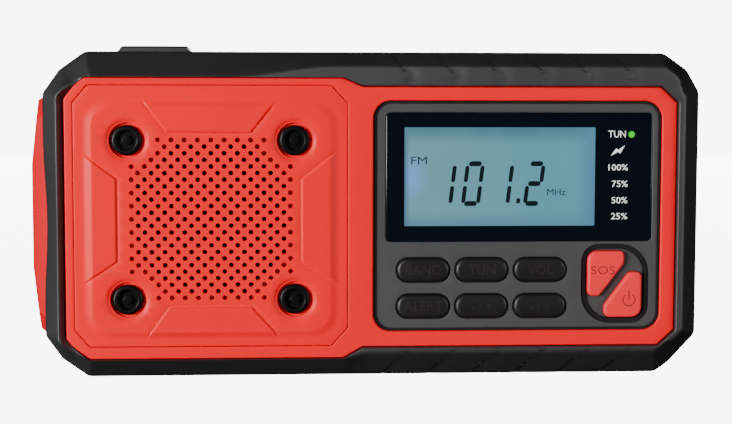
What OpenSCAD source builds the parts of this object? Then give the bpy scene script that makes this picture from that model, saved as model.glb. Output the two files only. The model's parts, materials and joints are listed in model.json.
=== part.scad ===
// Hand-crank emergency radio. Millimetres, +Z up, front face towards -Y.
// The origin is on the surface it stands on, under the middle of the bumper's width.

/* [Body] */
// Width across the bumper
body_w = 168; // [166:1:172]
// Height across the bumper
body_h = 83; // [82:0.5:84]
// Depth of the rear case behind the origin
rear_y = 30; // [30:0.5:33]
// Thickness of the case walls
wall = 2; // [1.8:0.1:2.2]

/* [Front controls] */
// How far a front key moves when pressed
key_travel = 0.8; // [0.6:0.1:0.8]
// Gap around each key in its hole
key_gap = 0.15; // [0.1:0.05:0.2]
// Radius of one speaker grille hole
grille_hole_r = 0.6; // [0.5:0.05:0.65]

/* [Crank] */
// Radius of the round well that the crank turns in
well_r = 31; // [30:0.25:31]
// Diameter of the folding crank knob
knob_d = 7; // [6:0.2:7]

/* [Antenna] */
// Radius of the outermost antenna tube
antenna_r = 3.5; // [3.3:0.05:3.5]
// How far each antenna tube stands out of the one around it when it is pushed in
antenna_step = 0.8; // [0.6:0.1:1]

/* [Lid] */
// Thickness of the solar lid
lid_t = 4.6; // [4.2:0.1:4.8]

/* [Hidden] */
$fn = 48;
eps = 0.01;

// Heights and depths that the sub-parts share
mid_z = body_h / 2;
lip_y = -28;          // front of the bumper
face_y = -26.6;       // red face
panel_y = -25.6;      // grey display panel
ledge_y = -24.4;      // front of the flange that the panels sit on
flange_y = -22.4;     // back of that flange
split_y = -12;        // joint between the two cases, and back of the bumper
chamfer_y = -21;      // where the bumper's front chamfer ends
lip_t = 4.7;          // width of the front chamfer
bumper_t = 3.6;       // rubber thickness around the front case
rear_t = 1.2;         // how much smaller the rear case is on each side
rear_chamfer = 3;     // bevel around the back
deck_z = body_h - rear_t;

// Outline of the whole front, with corners cut in two steps
half_w = body_w / 2;
half_h = body_h / 2;
corner_top_right = [[9.4, 0], [3.3, 4.3], [0, 9.9]];
corner_left = [[10.8, 0], [4.2, 4.7], [0, 10.6]];
corner_bottom_right = [[10.5, 0], [7, 1.84], [0, 9.2]];
corners = [[1, 1, corner_top_right], [-1, 1, corner_left], [-1, -1, corner_left], [1, -1, corner_bottom_right]];
outline = [
    for (q = corners)
        let (order = q[0] * q[1] > 0 ? [2, 1, 0] : [0, 1, 2])
            for (k = order) [q[0] * (half_w - q[2][k].x), q[1] * (half_h - q[2][k].y)]
];

// Red face inside the bumper: taller around the speaker than around the display
face_left = -(half_w - 6);
face_right = half_w - 7;
face_tall = half_h - 6.6;
face_low = half_h - 8.8;
face_tall_bottom = 5.4 - half_h;
face_low_bottom = 8.2 - half_h;
face_outline = [
    [face_right, face_low - 3.9], [face_right - 4.2, face_low], [-3.2, face_low], [-8, face_tall],
    [face_left + 5.1, face_tall], [face_left + 2.5, face_tall - 2.1], [face_left, face_tall - 5.3],
    [face_left, face_tall_bottom + 5.3], [face_left + 1.5, face_tall_bottom + 3.3],
    [face_left + 5.7, face_tall_bottom], [-8, face_tall_bottom], [-3.2, face_low_bottom],
    [face_right - 4.2, face_low_bottom], [face_right, face_low_bottom + 3.9]
];

// Speaker section
spk_x = -41.4;
spk_z = -0.6;
grille_half = [34.4, 33];
pad_x = [-32, 32.2];
pad_z = [-31, 29.3];
pad_y = -27.2;
tab_y = -27.9;
hole_pitch = 1.66;
hole_cells = 24;
screw_dx = 21;
screw_dz = 20.1;
screw_z = spk_z - 0.3;
screw_well_r = 4.7;
screw_head_r = 3.85;
sound_half = 19.1;
sound_cut = 9.1;
speaker_r = 27;
sound_points = [
    for (q = [[1, 0], [0, 1], [-1, 0], [0, -1]])
        for (s = [-1, 1]) sound_half * q + s * sound_cut * [-q.y, q.x]
];

// Display section
panel_x = [-0.5, 73.2];
panel_z = [-29.4, 29.2];
panel_r = 4.5;
lens_x = [2.7, 71];
lens_z = [-6.7, 26.2];
window_x = [5, 58.2];
window_z = [-4.6, 24.8];
label_x = 62.6;
label_z = [16.7, 12.6, 8.4, 4.2, 0];
tuned_at = [65.1, 20.9];
key_xs = [12.3, 27.3, 42.3];
key_zs = [-13.9, -23.2];
key_w = 13.5;
key_h = 6.2;
leaf = [[52.9, -7.3], [52.9, -27.9], [70.7, -27.9], [70.7, -7.3]];
leaf_r = [5, 8.5, 5, 8.5];
sos_shape = [[54.6, -9.1], [54.6, -20.8], [57.7, -20.8], [64.1, -12.3], [64.1, -9.1]];
sos_r = [2.6, 2.2, 1.8, 1.8, 1.2];
power_shape = [[68.7, -26.3], [68.7, -14.5], [65.5, -14.5], [59, -23.2], [59, -26.3]];
power_r = [2.6, 2.2, 1.8, 1.8, 1.6];
plunger_y = -20.5;
board_y = -17;
board_t = 1.6;
board_x = [-3, 75.5];
board_z = [10.5, 71.5];

// Case posts, in X and Z
case_posts = [[-76.4, 17], [-76.4, 67.5], [-14, 64], [3.5, 8.5], [75, 12.5], [75, 63]];
post_r = 3;
post_end_y = 17.9;
board_posts = [[0.4, 22], [0.4, 58], [72.2, 28], [72.2, 48]];

// Lid, lamp and top deck
lid_x = [-38, 64];
lid_y = [-9, 19];
tray_z = deck_z - 7;
hinge_y = 16.8;
hinge_z = deck_z - 2.2;
knuckle_r = 2.1;
knuckles = [[-32, -22], [48, 58]];
lamp_at = [-57.2, 3];
lamp_w = 22.2;
lamp_d = 15;
lamp_rise = 2.6;

// Flashlight on the left side
flash_y = 6;
flash_x = -half_w + rear_t;   // outer face of the left wall
flash_z = mid_z - 1.3;
flash_out = 6.6;
flash_half = 32.3;
flash_screw = 18;

// Ports on the right side
port_x = half_w - rear_t;
port_y = 11;
port_z = [18, 57];
port_depth = 14;
usb_a_z = 28;
usb_c_z = 41;
jack_z = 50.5;
jack_r = 1.8;

// Crank and gears
crank_at = [34, 37.5];
well_y = rear_y - 10.5;
floor_y = well_y - 2;
pivot_x = crank_at.x + 25.2;
pivot_y = rear_y - 3.6;
arm_y = well_y + 1.1;
shaft_r = 2.5;
module_1 = 0.8;
module_2 = 0.6;
drive_teeth = 48;
pinion_teeth = 12;
second_teeth = 42;
mesh_1 = (drive_teeth + pinion_teeth) * module_1 / 2;
mesh_2 = (second_teeth + pinion_teeth) * module_2 / 2;
mesh_angle = 120;
idler = crank_at + mesh_1 * [cos(mesh_angle), sin(mesh_angle)];
generator_at = idler - [mesh_2, 0];
plate_y = 7;
plate_t = 1.4;
plate_posts = [[12, 29], [48, 57], [55.5, 27]];

// Battery bay in the rear case
bay_x = [-71.5, -2.5];
bay_z = [12, 34];
bay_y = 6;
cell_r = 9.1;
cell_at = [17, 23];
door_y = rear_y - 2;
door_hinge_z = 10.3;

// Antenna along the top rear edge
antenna_x = 74;
antenna_y = 25.2;
antenna_z = deck_z - 5.3;
step_y = 21;
step_z = deck_z - 9.4;
tube_wall = 0.4;
tube_gap = 0.1;
tube_start = 67.5;
tube_end = -50;

// ---------------------------------------------------------------- helpers

// The polygon moved inwards by d on every side
function inset(p, d) = [
    for (i = [0 : len(p) - 1])
        let (
            n = len(p),
            a = p[(i + n - 1) % n], b = p[i], c = p[(i + 1) % n],
            u = (b - a) / norm(b - a), v = (c - b) / norm(c - b),
            nu = [-u.y, u.x], nv = [-v.y, v.x]
        )
            b + d * (nu + nv) / (1 + nu * nv)
];

// One corner b between a and c, rounded to radius r in n steps
function fillet(a, b, c, r, n) =
    let (
        u = (a - b) / norm(a - b), v = (c - b) / norm(c - b),
        half = acos(u * v) / 2,
        p = b + u * r / tan(half), q = b + v * r / tan(half),
        m = b + (u + v) / norm(u + v) * r / sin(half),
        start = atan2(p.y - m.y, p.x - m.x),
        turn = atan2(cross(p - m, q - m), (p - m) * (q - m))
    )
        [for (i = [0 : n]) m + r * [cos(start + turn * i / n), sin(start + turn * i / n)]];

// The polygon with each corner rounded to its own radius
function rounded(p, r, n = 5) = [
    for (i = [0 : len(p) - 1])
        each fillet(p[(i + len(p) - 1) % len(p)], p[i], p[(i + 1) % len(p)], is_list(r) ? r[i] : r, n)
];

function box_points(x, z) = [[x[0], z[0]], [x[1], z[0]], [x[1], z[1]], [x[0], z[1]]];

// A shape drawn in X and Z (Z from the body's middle), from depth y0 to y1
module slab(y0, y1) translate([0, y1, mid_z]) rotate([90, 0, 0]) linear_extrude(y1 - y0) children();

// The same with Z from the ground
module ground_slab(y0, y1) translate([0, y1, 0]) rotate([90, 0, 0]) linear_extrude(y1 - y0) children();

// A box between two corners
module block(x, y, z) translate([x[0], y[0], z[0]]) cube([x[1] - x[0], y[1] - y[0], z[1] - z[0]]);

// A round bar along Y at a place in X and Z, from y0 to y1
module bar_y(at, y0, y1, r) translate([at.x, y1, at.y]) rotate([90, 0, 0]) cylinder(r = r, h = y1 - y0);

// A round bar along X at a place in Y and Z
module bar_x(at, x0, x1, r) translate([x0, at.x, at.y]) rotate([0, 90, 0]) cylinder(r = r, h = x1 - x0);

module pill(w, h) {
    square([w - h, h], center = true);
    for (s = [-1, 1]) translate([s * (w - h) / 2, 0]) circle(d = h);
}

// A solid of revolution around Y; its profile is drawn as [radius, y]
module turned_y(at) translate([at.x, 0, at.y]) rotate([-90, 0, 0]) rotate_extrude() children();

// A solid of revolution around X; its profile is drawn as [radius, x]
module turned_x(at) translate([0, at.x, at.y]) rotate([0, 90, 0]) rotate_extrude() children();

// Convex body through the same outline at several depths, each [y, inset]
module lofted(p, levels) hull() for (l = levels) slab(l[0], l[0] + eps) polygon(inset(p, l[1]));

// Teeth of an involute gear: half of a tooth's angle at radius r
function involute(a) = tan(a) * 180 / PI - a;
function tooth_half(r, n, m, slack) =
    let (rp = n * m / 2, rb = rp * cos(20))
        90 / n - slack / rp * 180 / PI + involute(20) - involute(acos(min(1, rb / max(r, rb))));

module gear_2d(n, m, tip, root, turn = 0, slack = 0.1) {
    rp = n * m / 2;
    radii = [rp - root * m, max(rp * cos(20) + 0.02, rp - 0.6 * m), rp + 0.1 * m, rp + tip * m];
    polygon([
        for (k = [0 : n - 1], i = [0 : 7])
            let (
                r = radii[i < 4 ? i : 7 - i],
                a = turn + 360 * k / n + (i < 4 ? -1 : 1) * tooth_half(r, n, m, slack)
            )
                r * [cos(a), sin(a)]
    ]);
}

// Colours
red = [0.93, 0.1, 0.08];
rubber = [0.07, 0.07, 0.075];
plastic = [0.1, 0.1, 0.105];
grey = [0.25, 0.25, 0.25];
steel = [0.75, 0.76, 0.78];
brass = [0.8, 0.65, 0.3];
green = [0.1, 0.35, 0.18];
white = [0.9, 0.9, 0.9];
clear = [0.6, 0.75, 0.8];

// ---------------------------------------------------------------- shared shapes

function panel_points() = rounded(box_points(panel_x, panel_z), panel_r, 8);
function grille_points(d = 0) =
    let (l = spk_x - grille_half.x, r = spk_x + grille_half.x, h = grille_half.y)
        inset([
            [r, h - 4.5], [r - 4.1, h], [l + 3.7, h], [l, h - 4.4],
            [l, 4.4 - h], [l + 3.7, -h], [r - 4.1, -h], [r, 4.5 - h]
        ], d);

module grille_screw_places() for (i = [-1, 1], k = [-1, 1])
    translate([spk_x + i * screw_dx, 0, mid_z + screw_z + k * screw_dz]) children();

// Rounded rectangle between two corners
module rounded_box(x, z, r) polygon(rounded(box_points(x, z), r, 6));

// ---------------------------------------------------------------- case

module front_shell() color(red) difference() {
    union() {
        slab(face_y, ledge_y) polygon(face_outline);
        slab(ledge_y, flange_y) polygon(inset(outline, 4.6));
        difference() {
            slab(ledge_y + 1, split_y) polygon(inset(outline, bumper_t));
            slab(ledge_y, split_y + 1) polygon(inset(outline, bumper_t + wall));
        }
        for (p = case_posts) bar_y(p, ledge_y + 0.5, post_end_y, post_r);
        for (p = board_posts) bar_y(p, ledge_y + 0.5, board_y, 2.3);
        grille_screw_places() bar_y([0, 0], ledge_y + 0.5, -19.4, 2.8);
    }
    slab(face_y - 1, ledge_y) polygon(grille_points(-0.12));
    slab(face_y - 1, ledge_y) polygon(panel_points());
    slab(ledge_y - 1, flange_y + 1) polygon(inset(panel_points(), 2.4));
    slab(ledge_y - 1, flange_y + 1) translate([spk_x, spk_z]) polygon(sound_points);
    bar_y([spk_x, mid_z + spk_z], flange_y, -15, speaker_r + 0.1);
    grille_screw_places() bar_y([0, 0], ledge_y - 1, -15, 1.5);
    for (p = case_posts) bar_y(p, 6, post_end_y + 1, 1.1);
    for (p = board_posts) bar_y(p, -21.5, board_y + 1, 0.9);
}

// Red speaker cover: a soft-edged pad, four raised tabs and a staggered field of holes
module speaker_grille() color(red) difference() {
    union() {
        slab(face_y, ledge_y) polygon(grille_points());
        translate([spk_x, 0, 0]) lofted(
            rounded(box_points(pad_x, pad_z), 6, 6),
            [[pad_y, 2.4], [face_y, 0]]
        );
        slab(tab_y, face_y + 0.1) polygon([[-57.2, 28.7], [-51.7, 21.4], [-31.1, 21.4], [-25.6, 28.7]]);
        slab(tab_y, face_y + 0.1) polygon([[-57.2, -29.9], [-51.7, -22.8], [-31.1, -22.8], [-25.3, -29.9]]);
        slab(tab_y, face_y + 0.1) polygon([[-72.6, 15.6], [-72.6, -16.6], [-64.7, -11.3], [-64.7, 10.1]]);
        slab(tab_y, face_y + 0.1) polygon([[-9.8, 15.6], [-18.3, 9.8], [-18.3, -11.3], [-9.8, -16.6]]);
    }
    for (i = [0 : hole_cells], k = [0 : hole_cells])
        if (grille_hole(i, k))
            translate([spk_x + (i - 12) * hole_pitch, ledge_y + 1, mid_z + spk_z + (k - 12) * hole_pitch])
                rotate([90, 0, 0]) cylinder(r = grille_hole_r, h = 5, $fn = 16);
    grille_screw_places() {
        bar_y([0, 0], -29, face_y + 0.9, screw_well_r);
        bar_y([0, 0], -29, ledge_y + 1, 1.5);
    }
}

// True where the staggered field has a hole; the corners are left for the screws
function grille_hole(i, k) =
    let (a = min(k, hole_cells - k), b = min(i, hole_cells - i))
        (i + k) % 2 == 0 && (a > 3 || (a == 0 && b >= 4) || (a == 1 && b >= 5) || (a == 2 && b >= 4) || (a == 3 && b >= 3));

module grille_screws() color(plastic) grille_screw_places() difference() {
    union() {
        bar_y([0, 0], -26.9, face_y + 0.9, screw_head_r);
        bar_y([0, 0], face_y + 0.5, -19.6, 1.45);
    }
    translate([0, -26, 0]) rotate([90, 0, 0]) cylinder(d = 5.8, h = 3, $fn = 6);
}

// Rubber ring with a chamfered front and grip grooves on its right half
groove_x = [3.3, 15, 26.4, 37.8, 49, 60.2];
module bumper() color(rubber) difference() {
    lofted(outline, [[lip_y, lip_t], [chamfer_y, 0], [split_y - 1, 0], [split_y - eps, 1]]);
    slab(lip_y - 1, ledge_y) polygon(inset(face_outline, -0.15));
    slab(ledge_y - eps, ledge_y + 1) polygon(inset(outline, 4.6));
    slab(ledge_y + 1 - eps, split_y + 1) polygon(inset(outline, bumper_t));
    for (s = [0, 1], x = groove_x)
        translate([0, 0, mid_z]) mirror([0, 0, s])
            translate([x + 2.5, (lip_y + chamfer_y) / 2, half_h - lip_t / 2])
                rotate([atan2(lip_t, chamfer_y - lip_y), 0, 0])
                    rotate([0, 0, 30]) cube([0.8, 9.4, 1.2], center = true);
}

// Rear case: battery bay, crank well, lid tray, antenna step and port box are all open to the outside
module rear_shell() color(plastic) {
    rear_case();
    // Hinge ears that stand in the lid tray
    for (k = knuckles, e = [[k[0] - 4.3, k[0] - 0.3], [k[1] + 0.3, k[1] + 4.3]]) difference() {
        union() {
            bar_x([hinge_y, hinge_z], e[0], e[1], knuckle_r);
            block(e, [hinge_y - knuckle_r + 0.1, lid_y[1] + 0.2], [tray_z - 0.2, hinge_z]);
        }
        bar_x([hinge_y, hinge_z], e[0] - 1, e[1] + 1, 0.95);
    }
}
module rear_case() difference() {
    union() {
        difference() {
            lofted(outline, [
                [split_y, rear_t], [rear_y - rear_chamfer, rear_t], [rear_y - eps, rear_t + rear_chamfer]
            ]);
            lofted(outline, [
                [split_y - 1, rear_t + wall], [rear_y - rear_chamfer - 0.8, rear_t + wall],
                [rear_y - wall - eps, rear_t + wall + rear_chamfer - 0.8]
            ]);
        }
        difference() {
            slab(split_y - 3, split_y + 2) polygon(inset(outline, bumper_t + wall + 0.1));
            slab(split_y - 4, split_y + 3) polygon(inset(outline, bumper_t + wall + 1.4));
        }
        difference() {
            slab(split_y, split_y + 2) polygon(inset(outline, rear_t + wall - 0.1));
            slab(split_y - 1, split_y + 3) polygon(inset(outline, bumper_t + wall + 1.4));
        }
        bar_y(crank_at, floor_y, rear_y - 1, well_r + 2);
        bar_y(crank_at, floor_y - 1.4, rear_y - 9, 4.6);
        block([bay_x[0] - 1.5, bay_x[1] + 1.5], [bay_y - 1.5, rear_y - 1], [bay_z[0] - 1.5, bay_z[1] + 1.5]);
        block([lid_x[0] - 1.6, lid_x[1] + 1.6], [lid_y[0] - 1.6, lid_y[1] + 1.2], [tray_z - 1.6, deck_z - 1]);
        block([bay_x[0] - 3, bay_x[1] + 3], [door_y - 1.5, rear_y - 1], [bay_z[0] - 4, bay_z[1] + 6]);
        block([-half_w + 4.5, half_w - 4.5], [step_y - 2, rear_y - 1], [step_z - 2, step_z + 1]);
        intersection() {
            slab(step_y - 2, step_y) polygon(inset(outline, rear_t + 1));
            block([-half_w, half_w], [step_y - 3, step_y + 1], [step_z - 2, body_h]);
        }
        block([port_x - port_depth - 1.5, port_x - 1], [port_y - 8.5, port_y + 9.5], [port_z[0] - 3, port_z[1] + 3]);
        for (p = case_posts) bar_y(p, post_end_y, rear_y - 1, 4);
        for (p = plate_posts) bar_y(p, plate_y + plate_t, floor_y + 1, 2.5);
        for (s = [-1, 1]) translate([lamp_at.x + s * 10.4, lamp_at.y, deck_z - 6.4]) cylinder(r = 2, h = 5);
        for (k = [-1, 1]) bar_x([flash_y, flash_z + k * flash_screw], flash_x + 1, flash_x + 6, 2.4);
        lamp_bump();
    }
    // Crank well and its bearings
    bar_y(crank_at, well_y, rear_y + 1, well_r);
    bar_y(crank_at, 0, rear_y, shaft_r + 0.06);
    bar_y(idler, floor_y - 1, floor_y + 1.2, 1.56);
    for (p = plate_posts) bar_y(p, plate_y, floor_y, 0.9);
    // Battery bay and its door
    block(bay_x, [bay_y, rear_y + 1], bay_z);
    block([bay_x[0] - 1.2, bay_x[1] + 1.2], [door_y, rear_y + 1], [door_hinge_z, bay_z[1] + 2.2]);
    bar_x([rear_y - 1, door_hinge_z], bay_x[0] - 1.2, bay_x[1] + 1.2, 1.1);
    block([bay_x[0] - 1.2, bay_x[1] + 1.2], [rear_y - 1, rear_y + 1], [door_hinge_z - 1.1, door_hinge_z + 1]);
    bar_x([rear_y - 1, door_hinge_z], bay_x[0] - 2.6, bay_x[1] + 2.6, 0.65);
    block([bay_x[0] + 28, bay_x[0] + 41], [door_y, rear_y + 1], [bay_z[1], bay_z[1] + 4.4]);
    // Lid tray with room for the hinge
    block(lid_x, lid_y, [tray_z, deck_z + 1]);
    block([8, 18], [lid_y[0] - 2.4, lid_y[0] + 1], [deck_z - 2.4, deck_z + 1]);
    // Antenna step across the top of the back
    block([-half_w, half_w], [step_y, rear_y + 1], [step_z, body_h + 1]);
    translate([antenna_x, antenna_y, step_z - 5]) cylinder(r = 2.06, h = 6);
    // Port box on the right
    block([port_x - port_depth, port_x + 1], [port_y - 7, port_y + 7], port_z);
    block([port_x - wall, port_x + 1], [port_y - 7.6, port_y + 7.6], [port_z[0] - 2, port_z[1] + 2]);
    translate([port_x - 1, port_y + 7.6, port_z[0] - 2]) cylinder(r = 1.1, h = port_z[1] - port_z[0] + 4);
    block([port_x - 1, port_x + 1], [port_y + 7, port_y + 8.7], [port_z[0] - 2, port_z[1] + 2]);
    translate([port_x - 1, port_y + 7.6, port_z[0] - 3.4]) cylinder(r = 0.65, h = port_z[1] - port_z[0] + 6.8);
    // Flashlight opening on the left
    bar_x([flash_y, flash_z], flash_x - 1, flash_x + 3, 12.6);
    for (k = [-1, 1]) bar_x([flash_y, flash_z + k * flash_screw], flash_x - 1, flash_x + 5.4, 0.9);
    // Posts of the front case, and screw holes
    for (p = case_posts) {
        bar_y(p, split_y - 4, post_end_y, post_r + 0.15);
        bar_y(p, post_end_y - 1, rear_y + 1, 1.4);
        bar_y(p, post_end_y + 1.5, rear_y + 1, 2.7);
    }
    // Lamp button
    translate([lamp_at.x, lamp_at.y, deck_z - 2.8]) linear_extrude(9) pill(13.2, 7.6);
    for (s = [-1, 1]) translate([lamp_at.x + s * 10.4, lamp_at.y, deck_z - 6.8]) cylinder(r = 0.9, h = 4);
}

// Raised rim with sloping ends around the lamp button
module lamp_bump() translate([lamp_at.x, lamp_at.y + lamp_d / 2, deck_z - 0.5]) rotate([90, 0, 0])
    linear_extrude(lamp_d) polygon([
        [-lamp_w / 2, 0], [lamp_w / 2, 0], [lamp_w / 2, 0.6],
        [lamp_w / 2 - 2.4, lamp_rise + 0.5], [2.4 - lamp_w / 2, lamp_rise + 0.5], [-lamp_w / 2, 0.6]
    ]);

module base_pad() color(rubber) difference() {
    block([-60, 60], [-9, 19], [0, rear_t]);
    for (x = [-57 : 6 : 57]) block([x - 0.6, x + 0.6], [-6, 16], [-1, 0.4]);
}

// The same self-tapping screw holds the cases, the boards, the gear plate and the flashlight
module screw_y(at, y, l) {
    bar_y(at, y, y + 1.8, 2.3);
    bar_y(at, y - l, y + 0.1, 0.88);
}
module case_screws() color(steel) {
    for (p = case_posts) difference() {
        union() {
            bar_y(p, post_end_y + 1.5, post_end_y + 3.5, 2.5);
            bar_y(p, 7, post_end_y + 1.6, 1.08);
        }
        translate([p.x, post_end_y + 4, p.y]) cube([0.7, 3, 3.2], center = true);
        translate([p.x, post_end_y + 4, p.y]) cube([3.2, 3, 0.7], center = true);
    }
    for (p = board_posts) screw_y(p, board_y + board_t, 4.2);
    for (p = plate_posts) {
        bar_y(p, plate_y - 1.6, plate_y, 2.1);
        bar_y(p, plate_y - 0.1, plate_y + 6, 0.88);
    }
    for (s = [-1, 1]) translate([lamp_at.x + s * 10.4, lamp_at.y, deck_z - 9.2]) {
        cylinder(r = 1.9, h = 1.6);
        cylinder(r = 0.88, h = 5.4);
    }
    for (k = [-1, 1]) {
        bar_x([flash_y, flash_z + k * flash_screw], flash_x - 3.4, flash_x - 1.8, 1.9);
        bar_x([flash_y, flash_z + k * flash_screw], flash_x - 1.9, flash_x + 5, 0.88);
    }
}

// ---------------------------------------------------------------- display and controls

module display_panel() color(grey) difference() {
    union() {
        slab(panel_y, ledge_y) polygon(inset(panel_points(), 0.4));
        slab(ledge_y - 0.5, flange_y) polygon(inset(panel_points(), 2.5));
    }
    slab(panel_y - 1, ledge_y - 0.1) rounded_box(lens_x + [-0.1, 0.1], lens_z + [-0.1, 0.1], 1.3);
    slab(ledge_y - 1, flange_y + 1) rounded_box(window_x, window_z, 0.6);
    for (z = label_z) slab(ledge_y - 1, flange_y + 1) translate([label_x, z]) circle(r = 1.3);
    slab(ledge_y - 1, flange_y + 1) translate(tuned_at) circle(r = 1.3);
    for (x = key_xs, z = key_zs)
        slab(panel_y - 1, flange_y + 1) translate([x, z]) pill(key_w + 2 * key_gap, key_h + 2 * key_gap);
    lofted(rounded(leaf, leaf_r, 6), [[panel_y - eps, 0], [ledge_y, 1.1]]);
    slab(panel_y - 1, flange_y + 1) polygon(inset(rounded(sos_shape, sos_r, 5), -key_gap));
    slab(panel_y - 1, flange_y + 1) polygon(inset(rounded(power_shape, power_r, 5), -key_gap));
}

module display_lens() color([0.02, 0.03, 0.05]) slab(panel_y - 0.1, ledge_y - 0.1) rounded_box(lens_x, lens_z, 1.2);

module lcd_glass() color([0.5, 0.65, 0.7])
    slab(ledge_y - 0.1, ledge_y + 1.5) rounded_box(window_x + [0.1, -0.1], window_z + [0.1, -0.1], 0.5);

module lcd_backlight() color(white)
    slab(ledge_y + 1.5, board_y) rounded_box(window_x + [0.1, -0.1], window_z + [0.1, -0.1], 0.5);

// A front key: its flange is wider than the hole, so it stays in
module front_key(x, z) color(rubber) {
    slab(panel_y - key_travel, flange_y + 0.2 + eps) translate([x, z]) pill(key_w, key_h);
    slab(flange_y + 0.2, flange_y + 1) translate([x, z]) pill(key_w + 1.4, key_h + 1.4);
}
module band_key() front_key(key_xs[0], key_zs[0]);
module tune_up_key() front_key(key_xs[1], key_zs[0]);
module volume_up_key() front_key(key_xs[2], key_zs[0]);
module alert_key() front_key(key_xs[0], key_zs[1]);
module tune_down_key() front_key(key_xs[1], key_zs[1]);
module volume_down_key() front_key(key_xs[2], key_zs[1]);

module leaf_button(p) color(red) {
    slab(panel_y - 0.6, flange_y + 0.2 + eps) polygon(p);
    slab(flange_y + 0.2, flange_y + 1) polygon(inset(p, -0.7));
}
module sos_button() leaf_button(rounded(sos_shape, sos_r, 5));
module power_button() leaf_button(rounded(power_shape, power_r, 5));

switch_places = concat([for (x = key_xs, z = key_zs) [x, z]], [[59, -14.3], [64.9, -21.9]]);

module main_board() color(green) difference() {
    block(board_x, [board_y, board_y + board_t], board_z);
    for (p = case_posts) bar_y(p, board_y - 1, board_y + 3, post_r + 0.4);
    for (p = board_posts) bar_y(p, board_y - 1, board_y + 3, 1.1);
}

// Switches on the front of the board; tuner can, processor, capacitors and antenna rod clips on its back
module board_parts() color([0.55, 0.56, 0.58]) {
    for (p = switch_places) {
        slab(plunger_y + 0.7, board_y) translate(p) square(p.x > 50 ? 4.6 : 5.6, center = true);
        slab(plunger_y, plunger_y + 0.8) translate(p) circle(r = 1.5);
    }
    block([28, 50], [board_y + board_t, -12], [20, 38]);
    block([54, 64], [board_y + board_t, -13.9], [22, 32]);
    block([8, 20], [board_y + board_t, -13.6], [24, 36]);
    for (x = [50, 60]) bar_y([x, 50], board_y + board_t, -6, 4);
    block([0, 7], [board_y + board_t, -11], [34, 46]);
    for (x = [22, 61]) difference() {
        block([x, x + 3], [board_y + board_t, -0.4], [62, 72]);
        bar_x([-5, 67], x - 1, x + 4, 4);
    }
}

module indicator_leds() color([0.6, 1, 0.6]) {
    for (z = label_z) slab(ledge_y + 1.2, board_y) translate([label_x, z]) circle(r = 1.1);
    slab(ledge_y + 1.2, board_y) translate(tuned_at) circle(r = 1.1);
}

module ferrite_rod() color([0.2, 0.2, 0.22]) bar_x([-5, 67], 18, 68, 4);

module ferrite_coil() color([0.7, 0.35, 0.15]) difference() {
    bar_x([-5, 67], 30, 54, 5);
    bar_x([-5, 67], 29, 55, 4);
}

// Top button over the switch for the reading lamp and flashlight
module lamp_button() color(grey) translate([lamp_at.x, lamp_at.y, 0]) {
    translate([0, 0, deck_z - wall - 0.2 - eps]) linear_extrude(lamp_rise + wall + 0.8) pill(12.9, 7.3);
    translate([0, 0, deck_z - wall - 1]) linear_extrude(0.8) pill(15.2, 9.4);
}

module lamp_boards() color(green) translate([lamp_at.x, lamp_at.y, deck_z - 7.6]) difference() {
    union() {
        block([-12.6, 12.6], [-6, 6], [0, 1.2]);
        block([-3, 3], [-3, 3], [1.1, 3.2]);
        translate([0, 0, 2.8]) cylinder(r = 1.6, h = 1);
    }
    for (s = [-1, 1]) translate([s * 10.4, 0, -4]) cylinder(r = 1.1, h = 9);
}

// ---------------------------------------------------------------- speaker

spk_at = [spk_x, mid_z + spk_z];

module speaker_frame() color(steel) difference() {
    turned_y(spk_at) polygon([
        [speaker_r - 3, flange_y], [speaker_r, flange_y], [speaker_r, flange_y + 1.2], [speaker_r - 2, flange_y + 1.2],
        [17, -10], [15, -9], [4, -9], [4, -10.2], [14.4, -10.2], [speaker_r - 3, flange_y + 1]
    ]);
    for (a = [0 : 60 : 300])
        translate([spk_at.x, -16, spk_at.y]) rotate([0, a + 30, 0]) translate([19, 0, 0]) cube([14, 9, 7], center = true);
}

module speaker_magnet() color([0.3, 0.3, 0.32]) turned_y(spk_at) polygon([
    [0, -2], [14.5, -2], [14.5, -3.4], [16, -3.4], [16, -9], [7, -9], [7, -4], [0, -4]
]);

module speaker_cone() color([0.15, 0.15, 0.16]) turned_y(spk_at) polygon([
    [speaker_r - 3.2, flange_y + 0.4], [22.4, -21.4], [21, -22], [20, -21.2], [6.5, -14.6], [4, -14.6], [0, -15.8],
    [0, -15.4], [3.6, -14.2], [3.6, -6], [3.3, -6], [3.3, -5.6], [3.9, -5.6], [3.9, -14.2], [6.8, -14.2],
    [20.2, -20.8], [21, -21.5], [22.2, -21], [speaker_r - 3.2, flange_y + 0.9]
]);

module speaker_cloth() color(rubber) slab(ledge_y, ledge_y + 0.3)
    translate([spk_x, spk_z]) polygon(sound_points);

// ---------------------------------------------------------------- flashlight on the left side

// Outline of the lamp cover in Y and Z, shrunk by a in Y and b in Z
module cover_plate(x0, x1, a, b) translate([flash_x - x1, flash_y, flash_z]) rotate([0, 90, 0])
    linear_extrude(x1 - x0) polygon([
        [flash_half - b, a - 11], [flash_half - b, 11 - a], [flash_half - b - 5, 15 - a], [b + 5 - flash_half, 15 - a],
        [b - flash_half, 11 - a], [b - flash_half, a - 11], [b + 5 - flash_half, a - 15], [flash_half - b - 5, a - 15]
    ]);

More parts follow.
